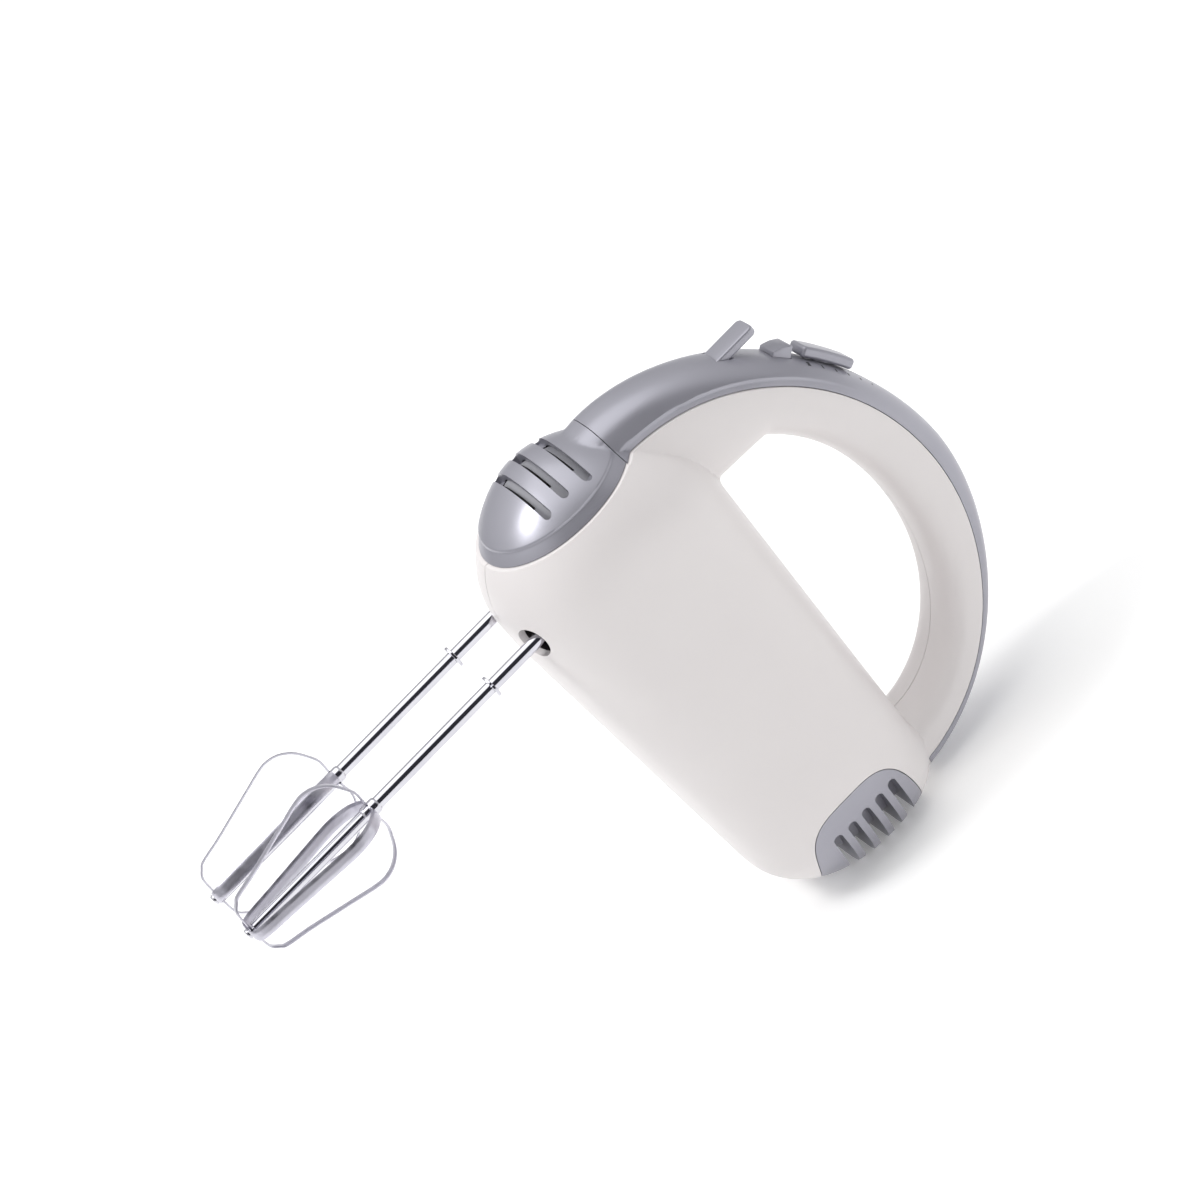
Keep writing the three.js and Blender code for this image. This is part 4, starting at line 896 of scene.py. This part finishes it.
MATERIALS = {
    "white_plastic": plastic("white_plastic", (0.785, 0.75, 0.745), (0.8, 0.767, 0.76), 0.36),
    "grey_plastic": plastic("grey_plastic", (0.375, 0.372, 0.42), (0.4, 0.397, 0.445), 0.34, pearl=0.5),
    "guide_plastic": plastic("guide_plastic", (0.36, 0.36, 0.39), (0.4, 0.4, 0.43), 0.5),
    "dark_plastic": plastic("dark_plastic", (0.03, 0.03, 0.033), (0.045, 0.045, 0.048), 0.45),
    "nylon": plastic("nylon", (0.7, 0.66, 0.54), (0.78, 0.74, 0.63), 0.45, 0.02, 1800),
    "gland_rubber": plastic("gland_rubber", (0.22, 0.22, 0.24), (0.27, 0.27, 0.29), 0.7, 0.03, 1500),
    "chrome": metal("chrome", (0.6, 0.595, 0.65), (0.68, 0.675, 0.72), 0.09, 0.0006, 500),
    "satin_chrome": metal("satin_chrome", (0.56, 0.55, 0.62), (0.6, 0.59, 0.66), 0.36, 0.0002, 6000),
    "steel": metal("steel", (0.5, 0.5, 0.51), (0.6, 0.6, 0.6), 0.28),
    "frame_metal": metal("frame_metal", (0.5, 0.5, 0.51), (0.62, 0.62, 0.63), 0.5, 0.03, 700),
    "lamination": striped("lamination", (0.1, 0.1, 0.11), (0.32, 0.32, 0.33), 0.4, 0.5, "Z"),
    "copper": striped("copper", (0.3, 0.1, 0.035), (0.72, 0.3, 0.12), 0.3, 0.45, "X"),
    "bronze": metal("bronze", (0.4, 0.27, 0.12), (0.52, 0.36, 0.17), 0.4, 0.02, 1200),
    "carbon": plastic("carbon", (0.02, 0.02, 0.02), (0.04, 0.04, 0.04), 0.6, 0.03, 1600),
}
SLOTS = {entry["node"]: entry["material_slot"] for entry in frame["record"]["subparts"]}
for node, cad in frame["nodes"].items():
    for cad_slot in cad.material_slots:
        cad_slot.material = MATERIALS[SLOTS[node]]


# ---------------------------------------------------------------- the pieces


def place(piece, name, body, nodes=(), slot=None, look=None, sharp=32):
    """Names a piece, sets its material, and lets it ride on its body in place of its CAD nodes."""
    slot = slot or SLOTS[nodes[0]]
    piece.name = piece.data.name = name
    mesh = piece.data
    mesh.shade_smooth()
    mesh.set_sharp_from_angle(angle=math.radians(sharp))
    mesh.materials.clear()
    mesh.materials.append(MATERIALS[look or slot])
    if nodes:
        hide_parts(*nodes)
    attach(piece, body)
    return piece


inner = blended_inner()
white_skin = combine(blended_outer(), "DIFFERENCE", inner, keep=True)
for name, side in (("left", -1), ("right", 1)):
    place(shell(side, white_skin), f"looks_{name}_shell", "housing", [f"{name}_shell"])
bpy.data.objects.remove(white_skin)

grey_skin = combine(blended_outer(detailed=True), "DIFFERENCE", inner)
cap = combine(copy_of(grey_skin), "INTERSECT", cap_region(0))
combine(cap, "DIFFERENCE", *[nose_slot(x) for x in NOSE_SLOT_XS])
place(cap, "looks_nose_cap", "housing", ["nose_cap"])
place(handle_cover(grey_skin), "looks_handle_cover", "housing", ["handle_cover"])
place(air_guide(), "looks_air_guide", "housing", ["front_air_guide"])
place(heel_grille(), "looks_heel_grille", "housing", ["heel_grille"])

place(eject_lever(), "looks_eject_lever", "ejector", ["eject_lever"])
place(turbo_button(), "looks_turbo_button", "turbo", ["turbo_button"])
place(speed_slider(), "looks_speed_slider", "slider", ["speed_slider"])
place(speed_marks(), "looks_speed_marks", "housing", slot="dark_plastic")

for name, side in (("left", -1), ("right", 1)):
    body, angle = f"beater_{name}", BEATER_ANGLE[name]
    place(beater_shaft(side), f"looks_beater_shaft_{name}", body, [f"beater_shaft_{name}"])
    place(beater_collar(side, angle), f"looks_beater_collar_{name}", body, [f"beater_collar_{name}"])
    strips = (("outer", angle, TIP_X), ("inner", angle + 90, TIP_X + STRIP_THICKNESS + GAP))
    for strip, turn, tip_x in strips:
        node = f"beater_loop_{strip}_{name}"
        place(beater_loop(side, turn, tip_x), f"looks_{node}", body, [node], look="satin_chrome", sharp=60)

# ---------------------------------------------------------------- stage, light and camera

AZIMUTH, ELEVATION, ROLL = math.radians(-6.3), math.radians(30.0), math.radians(42.44)
DISTANCE = 1.7
DARK_WAY = (0.1, -0.88, 0.46)  # towards the dark part of the room
TARGET = Vector((-0.01695, 0.02348, 0.13719))
CAMERA_WAY = Vector(
    (
        math.sin(AZIMUTH) * math.cos(ELEVATION),
        -math.cos(AZIMUTH) * math.cos(ELEVATION),
        math.sin(ELEVATION),
    )
)
LENS, SENSOR_WIDTH = 137.7, 36.0  # mm


def stage_floor():
    """A wide sheet of white paper, which glows a little so that shadows stay soft."""
    size = 7000.0
    corners = ((-size, -size, 0), (size, -size, 0), (size, size, 0), (-size, size, 0))
    floor = make(corners, [(0, 1, 2, 3)], "floor")
    material, nodes, links, shader = node_tree("floor_paper")
    tint(nodes, links, noise(nodes, links, 3), (0.93, 0.93, 0.925), (0.95, 0.95, 0.945), shader)
    shader.inputs["Roughness"].default_value = 0.9
    shader.inputs["Emission Color"].default_value = (1, 1, 1, 1)
    shader.inputs["Emission Strength"].default_value = 0.2
    floor.data.materials.append(material)


def area_light(name, direction, distance, size, power, glossy=True):
    """A soft light that faces the object from a direction."""
    lamp = bpy.data.lights.new(name, "AREA")
    lamp.shape = "DISK"
    lamp.size = size
    lamp.energy = power
    holder = bpy.data.objects.new(name, lamp)
    way = Vector(direction).normalized()
    holder.location = TARGET + way * distance
    holder.rotation_euler = way.to_track_quat("Z", "Y").to_euler()
    holder.visible_glossy = glossy
    bpy.context.scene.collection.objects.link(holder)


def sky():
    """Soft light all round, brightest above, with a dark part of the room behind the camera."""
    world = bpy.data.worlds.new("studio")
    world.use_nodes = True
    nodes, links = world.node_tree.nodes, world.node_tree.links
    way = nodes.new("ShaderNodeTexCoord").outputs["Generated"]
    split = nodes.new("ShaderNodeSeparateXYZ")
    links.new(way, split.inputs["Vector"])
    ramp = nodes.new("ShaderNodeValToRGB")
    ramp.color_ramp.elements[0].color = (0.38, 0.38, 0.4, 1)
    ramp.color_ramp.elements[1].position = 0.75
    ramp.color_ramp.elements[1].color = (1, 1, 1, 1)
    links.new(split.outputs["Z"], ramp.inputs["Fac"])
    toward = nodes.new("ShaderNodeVectorMath")
    toward.operation = "DOT_PRODUCT"
    toward.inputs[1].default_value = DARK_WAY
    links.new(way, toward.inputs[0])
    edge = nodes.new("ShaderNodeMapRange")
    edge.interpolation_type = "SMOOTHSTEP"
    edge.inputs["From Min"].default_value = 0.6
    edge.inputs["From Max"].default_value = 0.88
    links.new(toward.outputs["Value"], edge.inputs["Value"])
    mix = nodes.new("ShaderNodeMix")
    mix.data_type = "RGBA"
    mix.inputs["B"].default_value = (0.05, 0.05, 0.06, 1)
    links.new(edge.outputs["Result"], mix.inputs["Factor"])
    links.new(ramp.outputs["Color"], mix.inputs["A"])
    links.new(mix.outputs["Result"], nodes["Background"].inputs["Color"])
    nodes["Background"].inputs["Strength"].default_value = 0.8
    bpy.context.scene.world = world


def camera():
    """A long lens on the left side, raised, and rolled to give the photo's tilt."""
    lens = bpy.data.cameras.new("camera")
    lens.lens = LENS
    lens.sensor_width = SENSOR_WIDTH
    holder = bpy.data.objects.new("camera", lens)
    level = Vector((math.cos(AZIMUTH), math.sin(AZIMUTH), 0))
    up = CAMERA_WAY.cross(level)
    right = level * math.cos(ROLL) - up * math.sin(ROLL)
    top = level * math.sin(ROLL) + up * math.cos(ROLL)
    turn = Matrix((right, top, CAMERA_WAY)).transposed().to_4x4()
    holder.matrix_world = Matrix.Translation(TARGET + CAMERA_WAY * DISTANCE) @ turn
    bpy.context.scene.collection.objects.link(holder)
    bpy.context.scene.camera = holder


stage_floor()
sky()
area_light("key", (-0.46, 0.1, 0.88), 1.3, 0.4, 6)
area_light("top", (0.1, 0.1, 1), 3.2, 4.0, 40)
area_light("front", (0.25, -0.87, 0.4), 2.4, 1.2, 10, glossy=False)
camera()
bpy.context.scene.view_settings.view_transform = "Standard"
